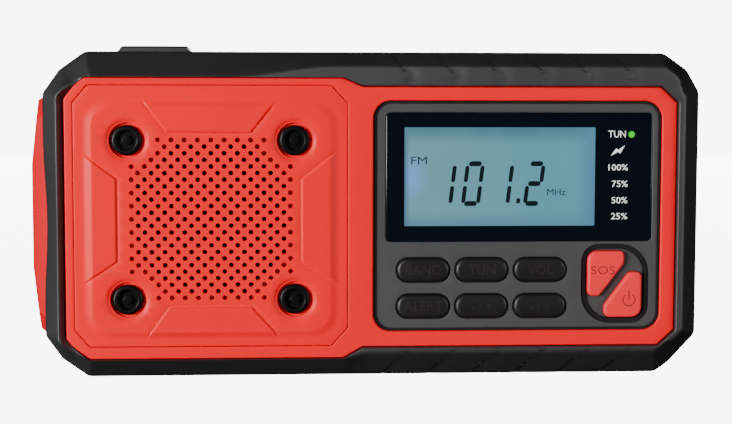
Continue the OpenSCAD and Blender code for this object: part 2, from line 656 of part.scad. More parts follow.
module flashlight_bezel() color(red) difference() {
    union() {
        hull() {
            cover_plate(0, 1.6, 0, 0);
            cover_plate(4.9, 5, 2, 1.8);
            cover_plate(flash_out - 0.1, flash_out, 3.6, 14);
        }
        bar_x([flash_y, flash_z], flash_x - 1, flash_x + 2.5, 12.4);
    }
    bar_x([flash_y, flash_z], flash_x - 10, flash_x - 3, 11);
    bar_x([flash_y, flash_z], flash_x - 4.6, flash_x + 4, 11.6);
    for (k = [-1, 1]) {
        bar_x([flash_y, flash_z + k * flash_screw], flash_x - 9, flash_x - 1.8, 2.1);
        bar_x([flash_y, flash_z + k * flash_screw], flash_x - 3, flash_x + 4, 1);
    }
}

module flashlight_lens() color(clear) bar_x([flash_y, flash_z], flash_x - 4.6, flash_x - 3.2, 11.55);

module flashlight_reflector() color(steel) turned_x([flash_y, flash_z]) polygon([
    [11.5, flash_x - 3.2], [11.5, flash_x - 2.6], [10.9, flash_x - 2.4], [9.6, flash_x + 1], [7.4, flash_x + 4.4],
    [5, flash_x + 6.4], [3, flash_x + 7.2], [2.4, flash_x + 7.2], [2.4, flash_x + 6.6], [4.6, flash_x + 5.8],
    [6.9, flash_x + 3.9], [9, flash_x + 0.8], [10.6, flash_x - 3.2]
]);

module flashlight_led() color(white) {
    bar_x([flash_y, flash_z], flash_x + 7.2, flash_x + 8.4, 5);
    turned_x([flash_y, flash_z]) polygon([
        [0, flash_x + 7.3], [2.3, flash_x + 7.3], [2.3, flash_x + 6], [1.9, flash_x + 5], [1, flash_x + 4.3], [0, flash_x + 4.1]
    ]);
}

// ---------------------------------------------------------------- solar lid with the reading lamp

lid_low = deck_z - lid_t;
lamp_x = [-8, 34];

module solar_lid() color(plastic) difference() {
    union() {
        translate([0, 0, lid_low]) linear_extrude(lid_t)
            polygon(rounded([
                [lid_x[0] + 0.3, lid_y[0] + 0.3], [lid_x[1] - 0.3, lid_y[0] + 0.3],
                [lid_x[1] - 0.3, hinge_y - 2.5], [lid_x[0] + 0.3, hinge_y - 2.5]
            ], 1.2, 5));
        for (k = knuckles) {
            bar_x([hinge_y, hinge_z], k[0], k[1], knuckle_r);
            block(k, [hinge_y - 3.4, hinge_y], [hinge_z - 1.6, hinge_z + knuckle_r]);
        }
    }
    for (k = knuckles) bar_x([hinge_y, hinge_z], k[0] - 1, k[1] + 1, 0.95);
    block([lid_x[0] + 4, lid_x[1] - 4], [lid_y[0] + 3.4, hinge_y - 4.6], [deck_z - 0.7, deck_z + 1]);
    block(lamp_x, [-3, 9], [lid_low - 1, lid_low + 2.2]);
}

module solar_cell() color([0.05, 0.07, 0.2]) block(
    [lid_x[0] + 4.1, lid_x[1] - 4.1], [lid_y[0] + 3.5, hinge_y - 4.7], [deck_z - 0.7, deck_z - 0.1]
);

module lid_hinge_pin() color(steel) for (k = knuckles) bar_x([hinge_y, hinge_z], k[0] - 4, k[1] + 4, 0.9);

module reading_lamp_leds() color(white) {
    block(lamp_x + [0.1, -0.1], [-2.9, 8.9], [lid_low + 1.4, lid_low + 2.2]);
    for (x = [lamp_x[0] + 3 : 6 : lamp_x[1] - 3]) block([x - 1.4, x + 1.4], [1.6, 4.4], [lid_low + 0.8, lid_low + 1.5]);
}

module reading_lamp_lens() color(clear) block(lamp_x + [0.1, -0.1], [-2.9, 8.9], [lid_low - 0.4, lid_low + 0.7]);

// ---------------------------------------------------------------- ports on the right side

port_hinge = [port_x - 1, port_y + 7.6];

module port_cover() color(rubber) difference() {
    union() {
        block([port_x - wall, port_x], [port_y - 7.3, port_y + 7.6], [port_z[0] - 1.7, port_z[1] + 1.7]);
        translate([port_hinge.x, port_hinge.y, port_z[0] - 1.7]) cylinder(r = 1, h = port_z[1] - port_z[0] + 3.4);
        translate([port_hinge.x, port_hinge.y, port_z[0] - 3]) cylinder(r = 0.58, h = port_z[1] - port_z[0] + 6);
    }
    block([port_x - 0.8, port_x + 1], [port_y - 8, port_y - 5.6], [mid_z - 8, mid_z]);
}

module port_board() color(green)
    block([port_x - port_depth, port_x - port_depth + 1.4], [port_y - 6.8, port_y + 6.8], port_z + [0.2, -0.2]);

module usb_sockets() color(steel) {
    x0 = port_x - port_depth + 1.4;
    x1 = port_x - 3;
    difference() {
        block([x0, x1], [port_y - 3.5, port_y + 3.5], [usb_a_z - 7.2, usb_a_z + 7.2]);
        block([x0 + 1, x1 + 1], [port_y - 2.9, port_y + 2.9], [usb_a_z - 6.6, usb_a_z + 6.6]);
    }
    block([x0, x1 - 0.6], [port_y + 0.4, port_y + 2.2], [usb_a_z - 5.6, usb_a_z + 5.6]);
    difference() {
        translate([x0, port_y, usb_c_z]) rotate([0, 90, 0]) linear_extrude(x1 - x0) pill(9.2, 3.4);
        translate([x0 + 1, port_y, usb_c_z]) rotate([0, 90, 0]) linear_extrude(x1 - x0) pill(8.6, 2.8);
    }
    block([x0, x1 - 1], [port_y - 0.35, port_y + 0.35], [usb_c_z - 3.3, usb_c_z + 3.3]);
}

module headphone_jack() color(plastic) difference() {
    union() {
        block([port_x - port_depth + 1.4, port_x - 4], [port_y - 3.2, port_y + 3.2], [jack_z - 3.2, jack_z + 3.2]);
        bar_x([port_y, jack_z], port_x - 5, port_x - 3, 2.9);
    }
    bar_x([port_y, jack_z], port_x - port_depth + 2.4, port_x, jack_r);
}

// ---------------------------------------------------------------- battery bay

module battery_door() color(plastic) difference() {
    union() {
        block([bay_x[0] - 1, bay_x[1] + 1], [door_y, rear_y], [door_hinge_z, bay_z[1] + 2]);
        bar_x([rear_y - 1, door_hinge_z], bay_x[0] - 1, bay_x[1] + 1, 1);
        bar_x([rear_y - 1, door_hinge_z], bay_x[0] - 2.4, bay_x[1] + 2.4, 0.58);
    }
    for (k = [0 : 3]) block([bay_x[0] + 28, bay_x[0] + 41], [rear_y - 0.5, rear_y + 1], [28 + 1.6 * k, 28.8 + 1.6 * k]);
}

module battery_cell() color([0.15, 0.45, 0.3]) {
    bar_x(cell_at, bay_x[0] + 3.1, bay_x[1] - 1.6, cell_r);
    bar_x(cell_at, bay_x[1] - 2, bay_x[1] - 0.6, 2.8);
}

module battery_contacts() color(steel) {
    block([bay_x[0], bay_x[0] + 0.4], [10, 24], [16, 30]);
    for (k = [0, 1, 2]) translate([bay_x[0] + 0.8 + 0.9 * k, cell_at.x, cell_at.y]) rotate([0, 90, 0])
        rotate_extrude() translate([5 - 0.7 * k, 0]) circle(r = 0.45, $fn = 16);
    block([bay_x[1] - 0.5, bay_x[1]], [12, 22], [18, 28]);
}

// ---------------------------------------------------------------- crank and generator

module crank_arm() color(plastic) difference() {
    union() {
        bar_y(crank_at, well_y + 0.4, arm_y + 2, 8);
        block([crank_at.x - 8, pivot_x + 3.4], [arm_y, pivot_y + 2.4], [crank_at.y - 6.2, crank_at.y + 6.2]);
    }
    block([crank_at.x - 9, pivot_x + 4], [arm_y + 2, rear_y + 1], [crank_at.y - 3.9, crank_at.y + 3.9]);
    bar_y(crank_at, 0, rear_y, shaft_r);
    translate([pivot_x, pivot_y, crank_at.y - 9]) cylinder(r = 1.26, h = 18);
}

module crank_shaft() color(steel) {
    bar_y(crank_at, 5.4, arm_y + 2, shaft_r);
    bar_y(crank_at, arm_y + 2, arm_y + 3.4, 3.4);
    bar_y(crank_at, 5.8, 6.8, 3.6);
}

module knob_stem() color(steel) {
    translate([pivot_x, pivot_y, crank_at.y - 3.6]) cylinder(r = 2.5, h = 7.2);
    translate([pivot_x, pivot_y, crank_at.y - 6]) cylinder(r = 1.2, h = 12);
    bar_x([pivot_y, crank_at.y], pivot_x - 20, pivot_x, 1.4);
    bar_x([pivot_y, crank_at.y], pivot_x - 20, pivot_x - 19, 2.2);
}

module crank_knob() color(rubber) turned_x([pivot_y, crank_at.y]) polygon([
    [1.46, pivot_x - 3.4], [1.46, pivot_x - 18.9], [2.3, pivot_x - 18.9], [2.3, pivot_x - 20.6],
    [knob_d / 2 - 0.7, pivot_x - 20.6], [knob_d / 2, pivot_x - 19.6], [knob_d / 2, pivot_x - 4.2],
    [knob_d / 2 - 0.8, pivot_x - 3.4]
]);

module drive_gear() color(white) difference() {
    ground_slab(11.8, 15.6) translate(crank_at) gear_2d(drive_teeth, module_1, 0.75, 1.3);
    bar_y(crank_at, 0, 20, shaft_r + 0.02);
    for (a = [0 : 60 : 300]) bar_y(crank_at + 11 * [cos(a), sin(a)], 0, 20, 3.4);
}

module compound_gear() color(white) {
    ground_slab(9, 11.3) translate(idler) gear_2d(second_teeth, module_2, 0.75, 1.3);
    ground_slab(11.2, 16) translate(idler) gear_2d(pinion_teeth, module_1, 0.9, 1.15, 15);
    bar_y(idler, plate_y, 9.1, 1.5);
    bar_y(idler, 15.9, floor_y + 1, 1.5);
}

module generator() color(steel) difference() {
    bar_y(generator_at, -9, plate_y, 9);
    bar_y(generator_at, -7, plate_y - 2.4, 6.5);
    bar_y(generator_at, -8.4, plate_y + 1, 1.06);
}

module generator_pinion() color(brass) {
    ground_slab(8.9, 11.5) translate(generator_at) gear_2d(pinion_teeth, module_2, 0.9, 1.15, 15);
    bar_y(generator_at, -8.2, 9, 1);
    bar_y(generator_at, -6.6, plate_y - 2.8, 6);
}

module gear_plate() color(steel) difference() {
    ground_slab(plate_y, plate_y + plate_t) hull() {
        for (p = plate_posts) translate(p) circle(r = 4.5);
        translate(generator_at) circle(r = 9.5);
        translate(idler) circle(r = 7);
    }
    bar_y(crank_at, 0, 10, shaft_r + 0.06);
    bar_y(idler, 0, 10, 1.56);
    bar_y(generator_at, 0, 10, 2);
    for (p = plate_posts) bar_y(p, 0, 10, 1.1);
}

// ---------------------------------------------------------------- antenna

function tube_r(k) = antenna_r - (tube_wall + tube_gap) * (k - 1);
function tube_tip(k) = tube_end - antenna_step * (k - 1);

// One nested tube: closed root with a wider collar, and a mouth that closes in on the next tube
module nested_tube(k, root) {
    difference() {
        union() {
            bar_x([antenna_y, antenna_z], tube_tip(k), root, tube_r(k));
            if (k > 1) bar_x([antenna_y, antenna_z], root - 4, root, tube_r(k) + tube_gap - 0.04);
        }
        bar_x([antenna_y, antenna_z], tube_tip(k) + 2, root - 1.5, tube_r(k) - tube_wall);
        bar_x([antenna_y, antenna_z], tube_tip(k) - 1, tube_tip(k) + 3, tube_r(k + 1) + 0.05);
    }
}

module antenna_post() color(steel) difference() {
    union() {
        translate([antenna_x, antenna_y, step_z + 0.05]) cylinder(r = 4, h = 0.9);
        translate([antenna_x, antenna_y, step_z - 3.4]) cylinder(r = 2, h = 4);
        translate([antenna_x, antenna_y, step_z - 3.4]) cylinder(r = 2.7, h = 1.3);
        for (s = [[-2.9, -1.8], [1.8, 2.9]]) {
            bar_y([antenna_x, antenna_z], antenna_y + s[0], antenna_y + s[1], 2.9);
            block([antenna_x - 2.9, antenna_x + 2.9], [antenna_y + s[0], antenna_y + s[1]], [step_z + 0.5, antenna_z]);
        }
        bar_y([antenna_x, antenna_z], antenna_y - 2.5, antenna_y + 2.5, 1);
    }
}

module antenna_tube_1() color(steel) {
    nested_tube(1, tube_start);
    difference() {
        union() {
            bar_y([antenna_x, antenna_z], antenna_y - 1.7, antenna_y + 1.7, 2.8);
            block([tube_start - 1, antenna_x], [antenna_y - 1.7, antenna_y + 1.7], [antenna_z - 2.8, antenna_z + 2.8]);
        }
        bar_y([antenna_x, antenna_z], antenna_y - 3, antenna_y + 3, 1.06);
    }
}
module antenna_tube_2() color(steel) nested_tube(2, tube_start - 2);
module antenna_tube_3() color(steel) nested_tube(3, tube_start - 4);
module antenna_rod() color(steel) {
    bar_x([antenna_y, antenna_z], tube_tip(4) - 1, tube_start - 6, tube_r(4));
    bar_x([antenna_y, antenna_z], tube_start - 10, tube_start - 6, tube_r(4) + tube_gap - 0.04);
    bar_x([antenna_y, antenna_z], tube_tip(4) - 4.5, tube_tip(4) - 0.6, 3.4);
}

front_shell();
speaker_grille();
bumper();
rear_shell();
base_pad();
display_panel();
display_lens();
lcd_glass();
lcd_backlight();
main_board();
board_parts();
indicator_leds();
case_screws();
band_key();
tune_up_key();
volume_up_key();
alert_key();
tune_down_key();
volume_down_key();
sos_button();
power_button();
lamp_button();
lamp_boards();
grille_screws();
speaker_frame();
speaker_magnet();
speaker_cone();
speaker_cloth();
flashlight_bezel();
flashlight_lens();
flashlight_reflector();
flashlight_led();
solar_lid();
solar_cell();
lid_hinge_pin();
reading_lamp_leds();
reading_lamp_lens();
port_cover();
port_board();
usb_sockets();
headphone_jack();
battery_door();
battery_cell();
battery_contacts();
crank_arm();
crank_shaft();
knob_stem();
crank_knob();
drive_gear();
compound_gear();
generator();
generator_pinion();
gear_plate();
antenna_post();
antenna_tube_1();
antenna_tube_2();
antenna_tube_3();
antenna_rod();
ferrite_rod();
ferrite_coil();
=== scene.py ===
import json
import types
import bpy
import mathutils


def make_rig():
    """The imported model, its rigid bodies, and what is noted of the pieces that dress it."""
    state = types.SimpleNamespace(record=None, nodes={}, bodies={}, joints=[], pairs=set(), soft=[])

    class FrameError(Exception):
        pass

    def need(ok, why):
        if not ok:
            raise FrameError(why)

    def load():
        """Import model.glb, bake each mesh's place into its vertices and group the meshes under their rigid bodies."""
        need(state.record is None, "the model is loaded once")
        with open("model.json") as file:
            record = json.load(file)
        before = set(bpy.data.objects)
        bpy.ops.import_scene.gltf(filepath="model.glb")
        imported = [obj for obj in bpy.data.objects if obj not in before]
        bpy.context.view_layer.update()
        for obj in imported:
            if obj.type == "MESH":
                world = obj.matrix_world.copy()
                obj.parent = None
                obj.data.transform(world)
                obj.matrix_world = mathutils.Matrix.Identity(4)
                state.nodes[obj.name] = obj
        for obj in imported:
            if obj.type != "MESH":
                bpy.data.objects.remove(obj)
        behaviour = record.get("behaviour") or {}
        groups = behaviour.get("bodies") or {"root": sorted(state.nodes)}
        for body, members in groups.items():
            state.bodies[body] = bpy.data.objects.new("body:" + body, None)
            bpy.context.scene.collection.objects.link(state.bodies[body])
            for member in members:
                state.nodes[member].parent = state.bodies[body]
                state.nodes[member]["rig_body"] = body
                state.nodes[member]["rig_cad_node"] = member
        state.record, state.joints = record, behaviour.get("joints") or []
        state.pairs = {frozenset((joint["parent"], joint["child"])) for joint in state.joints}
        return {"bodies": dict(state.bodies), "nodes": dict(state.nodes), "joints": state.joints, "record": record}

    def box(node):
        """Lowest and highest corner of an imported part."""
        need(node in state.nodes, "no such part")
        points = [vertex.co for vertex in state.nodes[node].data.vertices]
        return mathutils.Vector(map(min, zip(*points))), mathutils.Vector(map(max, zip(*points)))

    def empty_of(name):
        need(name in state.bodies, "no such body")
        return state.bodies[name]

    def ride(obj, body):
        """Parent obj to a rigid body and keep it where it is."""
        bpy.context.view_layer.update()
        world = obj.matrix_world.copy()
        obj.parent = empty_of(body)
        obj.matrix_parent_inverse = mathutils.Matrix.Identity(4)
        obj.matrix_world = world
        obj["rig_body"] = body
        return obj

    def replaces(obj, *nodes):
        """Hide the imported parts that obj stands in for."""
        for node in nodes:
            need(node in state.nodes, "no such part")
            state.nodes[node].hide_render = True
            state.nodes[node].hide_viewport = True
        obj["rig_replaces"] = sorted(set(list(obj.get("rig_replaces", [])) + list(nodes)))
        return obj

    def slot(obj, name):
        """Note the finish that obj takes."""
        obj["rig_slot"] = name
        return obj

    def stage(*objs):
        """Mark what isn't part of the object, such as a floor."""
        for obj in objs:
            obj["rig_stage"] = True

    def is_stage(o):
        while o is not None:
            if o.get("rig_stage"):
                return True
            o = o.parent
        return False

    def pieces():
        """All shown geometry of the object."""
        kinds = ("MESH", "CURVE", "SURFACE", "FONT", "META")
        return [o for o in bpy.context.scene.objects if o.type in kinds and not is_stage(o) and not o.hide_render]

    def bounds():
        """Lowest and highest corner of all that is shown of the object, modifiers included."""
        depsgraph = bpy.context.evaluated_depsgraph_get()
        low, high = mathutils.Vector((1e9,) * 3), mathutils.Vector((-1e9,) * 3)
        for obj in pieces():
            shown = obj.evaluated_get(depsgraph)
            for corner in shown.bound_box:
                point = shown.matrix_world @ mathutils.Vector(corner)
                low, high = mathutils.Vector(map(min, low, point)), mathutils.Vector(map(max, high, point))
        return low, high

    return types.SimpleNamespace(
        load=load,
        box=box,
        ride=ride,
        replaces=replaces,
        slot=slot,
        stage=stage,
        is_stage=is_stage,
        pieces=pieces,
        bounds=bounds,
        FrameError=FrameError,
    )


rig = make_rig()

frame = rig.load()

import json
import math

import bmesh
import bpy
import numpy as np
from mathutils import Matrix, Vector
from mathutils.geometry import delaunay_2d_cdt


def write_size(when):
    path = "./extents.json"
    sizes = {} if when == "cad" else json.load(open(path))
    sizes[when] = [[float(c) for c in corner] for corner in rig.bounds()]
    json.dump(sizes, open(path, "w"))


write_size("cad")


# ------------------------------------------------------------------ the frame, in millimetres

# Shapes are drawn in millimetres: x to the right, y the depth in the frame, z up from the front's middle.
MM = 0.001
NODES = frame["nodes"]
RECORD = frame["record"]
SLOTS = {s["node"]: s["material_slot"] for s in RECORD["subparts"]}
NODE_BODY = {n: b for b, members in RECORD["behaviour"]["bodies"].items() for n in members}
LOW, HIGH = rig.box("bumper")
MID_Z = (LOW[2] + HIGH[2]) / 2 / MM
HALF_W = (HIGH[0] - LOW[0]) / 2 / MM
HALF_H = (HIGH[2] - LOW[2]) / 2 / MM


def front_of(node):
    """Depth of a CAD node's front, in millimetres."""
    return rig.box(node)[0][1] / MM


LIP_Y = front_of("bumper")
SPLIT_Y = HIGH[1] / MM                  # the back of the bumper, where the rear case starts
FACE_Y = front_of("front_shell")
PANEL_Y = front_of("display_panel")
FLANGE_Y = front_of("speaker_cloth")    # front of the flange behind the two panels


# ------------------------------------------------------------------ 2-D geometry, in millimetres

def corner_arc(a, b, c, r, n):
    """Corner b between a and c, rounded to radius r in n steps."""
    if r <= 0:
        return [b]
    a, b, c = (np.array(p, float) for p in (a, b, c))
    u, v = a - b, c - b
    lu, lv = np.linalg.norm(u), np.linalg.norm(v)
    u, v = u / lu, v / lv
    half = math.acos(max(-1, min(1, u @ v))) / 2
    if half > 1.5:      # nearly straight
        return [b]
    r = min(r, 0.48 * min(lu, lv) * math.tan(half))
    m = b + (u + v) / np.linalg.norm(u + v) * r / math.sin(half)
    p, q = b + u * r / math.tan(half) - m, b + v * r / math.tan(half) - m
    start = math.atan2(p[1], p[0])
    turn = math.atan2(p[0] * q[1] - p[1] * q[0], p @ q)
    angles = [start + turn * i / n for i in range(n + 1)]
    return [m + r * np.array([math.cos(t), math.sin(t)]) for t in angles]


def rounded(points, radii, n=8):
    """Closed outline through points with its corners rounded, by one radius or by one each."""
    k = len(points)
    radii = radii if isinstance(radii, (list, tuple)) else [radii] * k
    out = []
    for i in range(k):
        out += corner_arc(points[i - 1], points[i], points[(i + 1) % k], radii[i], n)
    return np.array(out)


def rectangle(x0, x1, z0, z1, r=0.0, n=8):
    return rounded([(x1, z1), (x0, z1), (x0, z0), (x1, z0)], r, n)


def circle(x, z, r, n=32):
    angles = [2 * math.pi * i / n for i in range(n)]
    return np.array([(x + r * math.cos(t), z + r * math.sin(t)) for t in angles])


def pill(x, z, w, h, n=10):
    return rectangle(x - w / 2, x + w / 2, z - h / 2, z + h / 2, h / 2 - 0.001, n)


def dense(points, step, closed=True):
    """The same line with points added, so that they are about a step apart."""
    p = [np.array(q, float) for q in points]
    out = []
    for a, b in zip(p, p[1:] + p[:1] if closed else p[1:]):
        m = max(1, int(round(np.linalg.norm(b - a) / step)))
        out += [a + (b - a) * j / m for j in range(m)]
    return np.array(out if closed else out + p[-1:])


def signed_distance(P, loop):
    """Distance of points P to a closed loop, positive inside it."""
    P = np.asarray(P, float)
    a = np.asarray(loop, float)
    b = np.roll(a, -1, axis=0)
    best = np.full(len(P), 1e9)
    inside = np.zeros(len(P), bool)
    for s, e in zip(a, b):
        d = e - s
        length = d @ d
        if length < 1e-14:
            continue
        t = np.clip(((P - s) @ d) / length, 0, 1)
        best = np.minimum(best, np.hypot(P[:, 0] - s[0] - t * d[0], P[:, 1] - s[1] - t * d[1]))
        crossing = (s[1] > P[:, 1]) != (e[1] > P[:, 1])
        if abs(d[1]) > 1e-14:
            inside ^= crossing & (P[:, 0] < s[0] + (P[:, 1] - s[1]) * d[0] / d[1])
    return np.where(inside, best, -best)


def path_distance(P, path):
    """Distance to an open path, and the side of it (positive to its left)."""
    best = np.full(len(P), 1e9)
    side = np.zeros(len(P))
    for s, e in zip(path[:-1], path[1:]):
        s, e = np.array(s, float), np.array(e, float)
        d = e - s
        t = np.clip(((P - s) @ d) / (d @ d), 0, 1)
        near = s + t[:, None] * d
        dist = np.hypot(*(P - near).T)
        closer = dist < best
        best = np.where(closer, dist, best)
        side = np.where(closer, np.sign(d[0] * (P[:, 1] - s[1]) - d[1] * (P[:, 0] - s[0])), side)
    return best, side


def offset(loop, d):
    """The loop moved inwards by d (outwards if negative); it runs anticlockwise."""
    loop = np.asarray(loop, float)
    e = np.roll(loop, -1, axis=0) - loop
    loop = loop[np.hypot(*e.T) > 1e-6]
    e = np.roll(loop, -1, axis=0) - loop
    e /= np.hypot(*e.T)[:, None]
    n = np.stack([-e[:, 1], e[:, 0]], 1)
    p = np.roll(n, 1, axis=0)
    return loop + d * (n + p) / np.maximum(0.25, 1 + (n * p).sum(1))[:, None]


def offsets(loop, distances, step=None):
    """The loop moved inwards by each distance, with points about a step apart where one is given."""
    moved = [offset(loop, d) for d in distances]
    return [dense(m, step) for m in moved] if step else moved


def ease(t):
    t = np.clip(t, 0, 1)
    return t * t * (3 - 2 * t)


def roll_off(d, r):
    """How far a rounded edge of radius r has dropped at distance d inside it."""
    t = np.clip(d, 0, r)
    return r - np.sqrt(np.maximum(0, r * r - (r - t) ** 2))


# ------------------------------------------------------------------ meshes

def linked(name, data):
    obj = bpy.data.objects.new(name, data)
    bpy.context.scene.collection.objects.link(obj)
    return obj


def add_mesh(name, verts, faces, material, smooth=35):
    """A mesh in metres, smooth but for the edges that turn by more than smooth degrees."""
    mesh = bpy.data.meshes.new(name)
    mesh.from_pydata([Vector(v) for v in verts], [], faces)
    mesh.validate()
    bm = bmesh.new()
    bm.from_mesh(mesh)
    bmesh.ops.remove_doubles(bm, verts=bm.verts, dist=1e-7)
    bmesh.ops.recalc_face_normals(bm, faces=bm.faces)
    for f in bm.faces:
        f.smooth = True
    for e in bm.edges:
        e.smooth = e.calc_face_angle(math.pi) < math.radians(smooth)
    bm.to_mesh(mesh)
    bm.free()
    mesh.materials.append(material)
    return linked(name, mesh)


def grid_points(border, holes, step):
    """A staggered grid of points inside border and clear of the holes."""
    lo, hi = border.min(0), border.max(0)
    columns = np.arange(lo[0] + step / 2, hi[0], step)
    rows = np.arange(lo[1] + step / 2, hi[1], step)
    G = np.array([(x + (step / 2 if j % 2 else 0), z) for j, z in enumerate(rows) for x in columns])
    keep = signed_distance(G, border) > step * 0.35
    for hole in holes:
        keep &= signed_distance(G, hole) < -step * 0.2
    return G[keep]


def triangulate(border, holes, contours, points):
    """Points and triangles of a flat plate with holes. Its triangles keep to the contours."""
    pts, edges = [], []
    for loop in [border, *holes, *contours]:
        base, k = len(pts), len(loop)
        pts += [tuple(p) for p in loop]
        edges += [(base + i, base + (i + 1) % k) for i in range(k)]
    pts += [tuple(p) for p in points]
    found, _, faces = delaunay_2d_cdt([Vector(p) for p in pts], edges, [], 0, 1e-5)[:3]
    V = np.array([(v.x, v.y) for v in found])
    F = np.array([f for f in faces if len(f) == 3])
    middle = V[F].mean(axis=1)
    keep = signed_distance(middle, border) > 0
    for hole in holes:
        keep &= signed_distance(middle, hole) < 0
    return V, [tuple(int(i) for i in f) for f in F[keep]]


def hang_walls(verts, faces, depth):
    """Adds walls from the open edges of the face back to the depth given for each vertex."""
    sides = dict.fromkeys(side for f in faces for side in zip(f, f[1:] + f[:1]))
    foot = {}
    for a, b in [(a, b) for a, b in sides if (b, a) not in sides]:
        for i in (a, b):
            if i not in foot:
                foot[i] = len(verts)
                verts.append((verts[i][0], depth[i], verts[i][2]))
        faces.append((b, a, foot[a], foot[b]))


def relief(name, border, holes, contours, height, back, material, grid=0, smooth=40, hole_back=None,
           points=()):
    """A plate seen from the front. Its face follows height(points) in depth, and the triangles keep to the
    contours. Walls go from the border and the holes to depth back, or from the holes to hole_back."""
    fill = list(grid_points(border, holes, grid)) if grid else []
    V, faces = triangulate(border, holes, contours, fill + list(points))
    depth = np.full(len(V), float(back))
    if hole_back is not None:
        depth[np.abs(signed_distance(V, border)) >= 1e-3] = hole_back
    verts = [(x, y, z) for (x, z), y in zip(V, height(V))]
    hang_walls(verts, faces, depth)
    verts = [(x * MM, y * MM, (z + MID_Z) * MM) for x, y, z in verts]
    return add_mesh(name, verts, faces, material, smooth)


def prism(name, loop, y0, y1, material, edge=0.0, hollow=()):
    """Flat piece between two depths, with its front edge rounded by edge."""
    def height(P):
        return y0 + roll_off(signed_distance(P, loop), edge)

    contours = offsets(loop, [edge * f for f in (0.15, 0.4, 0.7, 1.0)]) if edge else []
    return relief(name, loop, hollow, contours, height, y1, material, smooth=35)


def flat(y):
    """A height for relief that is the same everywhere."""
    return lambda P: np.full(len(P), y)


def trim(obj, node):
    """A small piece on top of a CAD node, on its body and in its material slot."""
    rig.ride(obj, NODE_BODY[node])
    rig.slot(obj, SLOTS[node])
    return obj


def finished(obj, node):
    """obj stands for this CAD node."""
    trim(obj, node)
    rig.replaces(obj, node)
    return obj


# ------------------------------------------------------------------ materials

def srgb(r, g, b):
    channels = [c / 255 for c in (r, g, b)]
    return tuple(c / 12.92 if c <= 0.04045 else ((c + 0.055) / 1.055) ** 2.4 for c in channels) + (1,)


def noise(tree, where, scale, detail, distortion=0.0):
    node = tree.nodes.new("ShaderNodeTexNoise")
    node.inputs["Scale"].default_value = scale
    node.inputs["Detail"].default_value = detail
    node.inputs["Distortion"].default_value = distortion
    tree.links.new(where.outputs["Object"], node.inputs["Vector"])
    return node.outputs["Fac"]


def material(name, colour, rough, rough_spread=0.06, mottle=0.08, mottle_scale=60, grain=2400, bump=0.15,
             depth=0.00004, metal=0.0, specular=0.5, scratches=0.0, emission=None, strength=0.0,
             transmission=0.0):
    """Colour and roughness vary over broad patches. A fine grain, and scratches if any, are small bumps."""
    m = bpy.data.materials.new(name)
    m.use_nodes = True
    t = m.node_tree
    n, link = t.nodes, t.links
    shader = n["Principled BSDF"]
    shader.inputs["Metallic"].default_value = metal
    shader.inputs["Specular IOR Level"].default_value = specular
    shader.inputs["Transmission Weight"].default_value = transmission
    if emission:
        shader.inputs["Emission Color"].default_value = emission
        shader.inputs["Emission Strength"].default_value = strength
    where = n.new("ShaderNodeTexCoord")
    broad = noise(t, where, mottle_scale, 5)
    shade = n.new("ShaderNodeMix")
    shade.data_type = "RGBA"
    shade.inputs["A"].default_value = tuple(min(1, c * (1 - mottle)) for c in colour[:3]) + (1,)
    shade.inputs["B"].default_value = tuple(min(1, c * (1 + mottle)) for c in colour[:3]) + (1,)
    link.new(broad, shade.inputs["Factor"])
    link.new(shade.outputs["Result"], shader.inputs["Base Color"])
    span = n.new("ShaderNodeMapRange")
    span.inputs["To Min"].default_value = max(0.02, rough - rough_spread)
    span.inputs["To Max"].default_value = min(1, rough + rough_spread)
    link.new(broad, span.inputs["Value"])
    link.new(span.outputs["Result"], shader.inputs["Roughness"])
    height = noise(t, where, grain, 3)
    if scratches:
        both = n.new("ShaderNodeMath")
        both.operation = "MULTIPLY_ADD"
        both.inputs[1].default_value = scratches
        link.new(noise(t, where, 180, 8, distortion=1.5), both.inputs[0])
        link.new(height, both.inputs[2])
        height = both.outputs[0]
    small_bumps = n.new("ShaderNodeBump")
    small_bumps.inputs["Strength"].default_value = bump
    small_bumps.inputs["Distance"].default_value = depth
    link.new(height, small_bumps.inputs["Height"])
    link.new(small_bumps.outputs["Normal"], shader.inputs["Normal"])
    return m


RED = material("red_abs", (0.95, 0.0005, 0.009, 1), 0.4, mottle=0.03, grain=5200, bump=0.10, depth=0.00002,
               specular=0.16)
# painted shade: a darker copy of the red, for the flashlight's cover, which turns its broad side to the key light
RED_PAINTED_SHADE = material("red_side", (0.62, 0.0005, 0.008, 1), 0.45, mottle=0.03, grain=5200, bump=0.10,
                    depth=0.00002, specular=0.1)
RED_KEY = material("red_button", (0.95, 0.02, 0.03, 1), 0.5, mottle=0.03, grain=5200, bump=0.08,
                   depth=0.00002, specular=0.35)
RUBBER = material("bumper_rubber", (0.0105, 0.0105, 0.011, 1), 0.55, mottle=0.1, grain=3800, bump=0.25,
                  depth=0.00003, specular=1.0)
SHELL = material("case_plastic", (0.010, 0.010, 0.0105, 1), 0.5, mottle=0.08, grain=3000, bump=0.3,
                 depth=0.00004, specular=0.8)
KEY = material("key_rubber", (0.008, 0.007, 0.007, 1), 0.45, mottle=0.1, grain=4200, bump=0.1, depth=0.00002,
               specular=0.4)
GREY = material("panel_grey", (0.055, 0.055, 0.056, 1), 0.5, mottle=0.05, grain=4600, bump=0.18,
                depth=0.00002, specular=0.4)
PAD_GREY = material("button_grey", srgb(92, 92, 92), 0.6, mottle=0.06, grain=3600, bump=0.2, depth=0.00003,
                    specular=0.3)
LENS = material("display_lens", (0.003, 0.005, 0.009, 1), 0.1, rough_spread=0.02, mottle=0.05, bump=0.01,
                depth=0.00001, specular=0.35)
SCREW = material("screw_black", (0.002, 0.002, 0.002, 1), 0.4, mottle=0.1, grain=3000, bump=0.1,
                 depth=0.00002, specular=0.2)
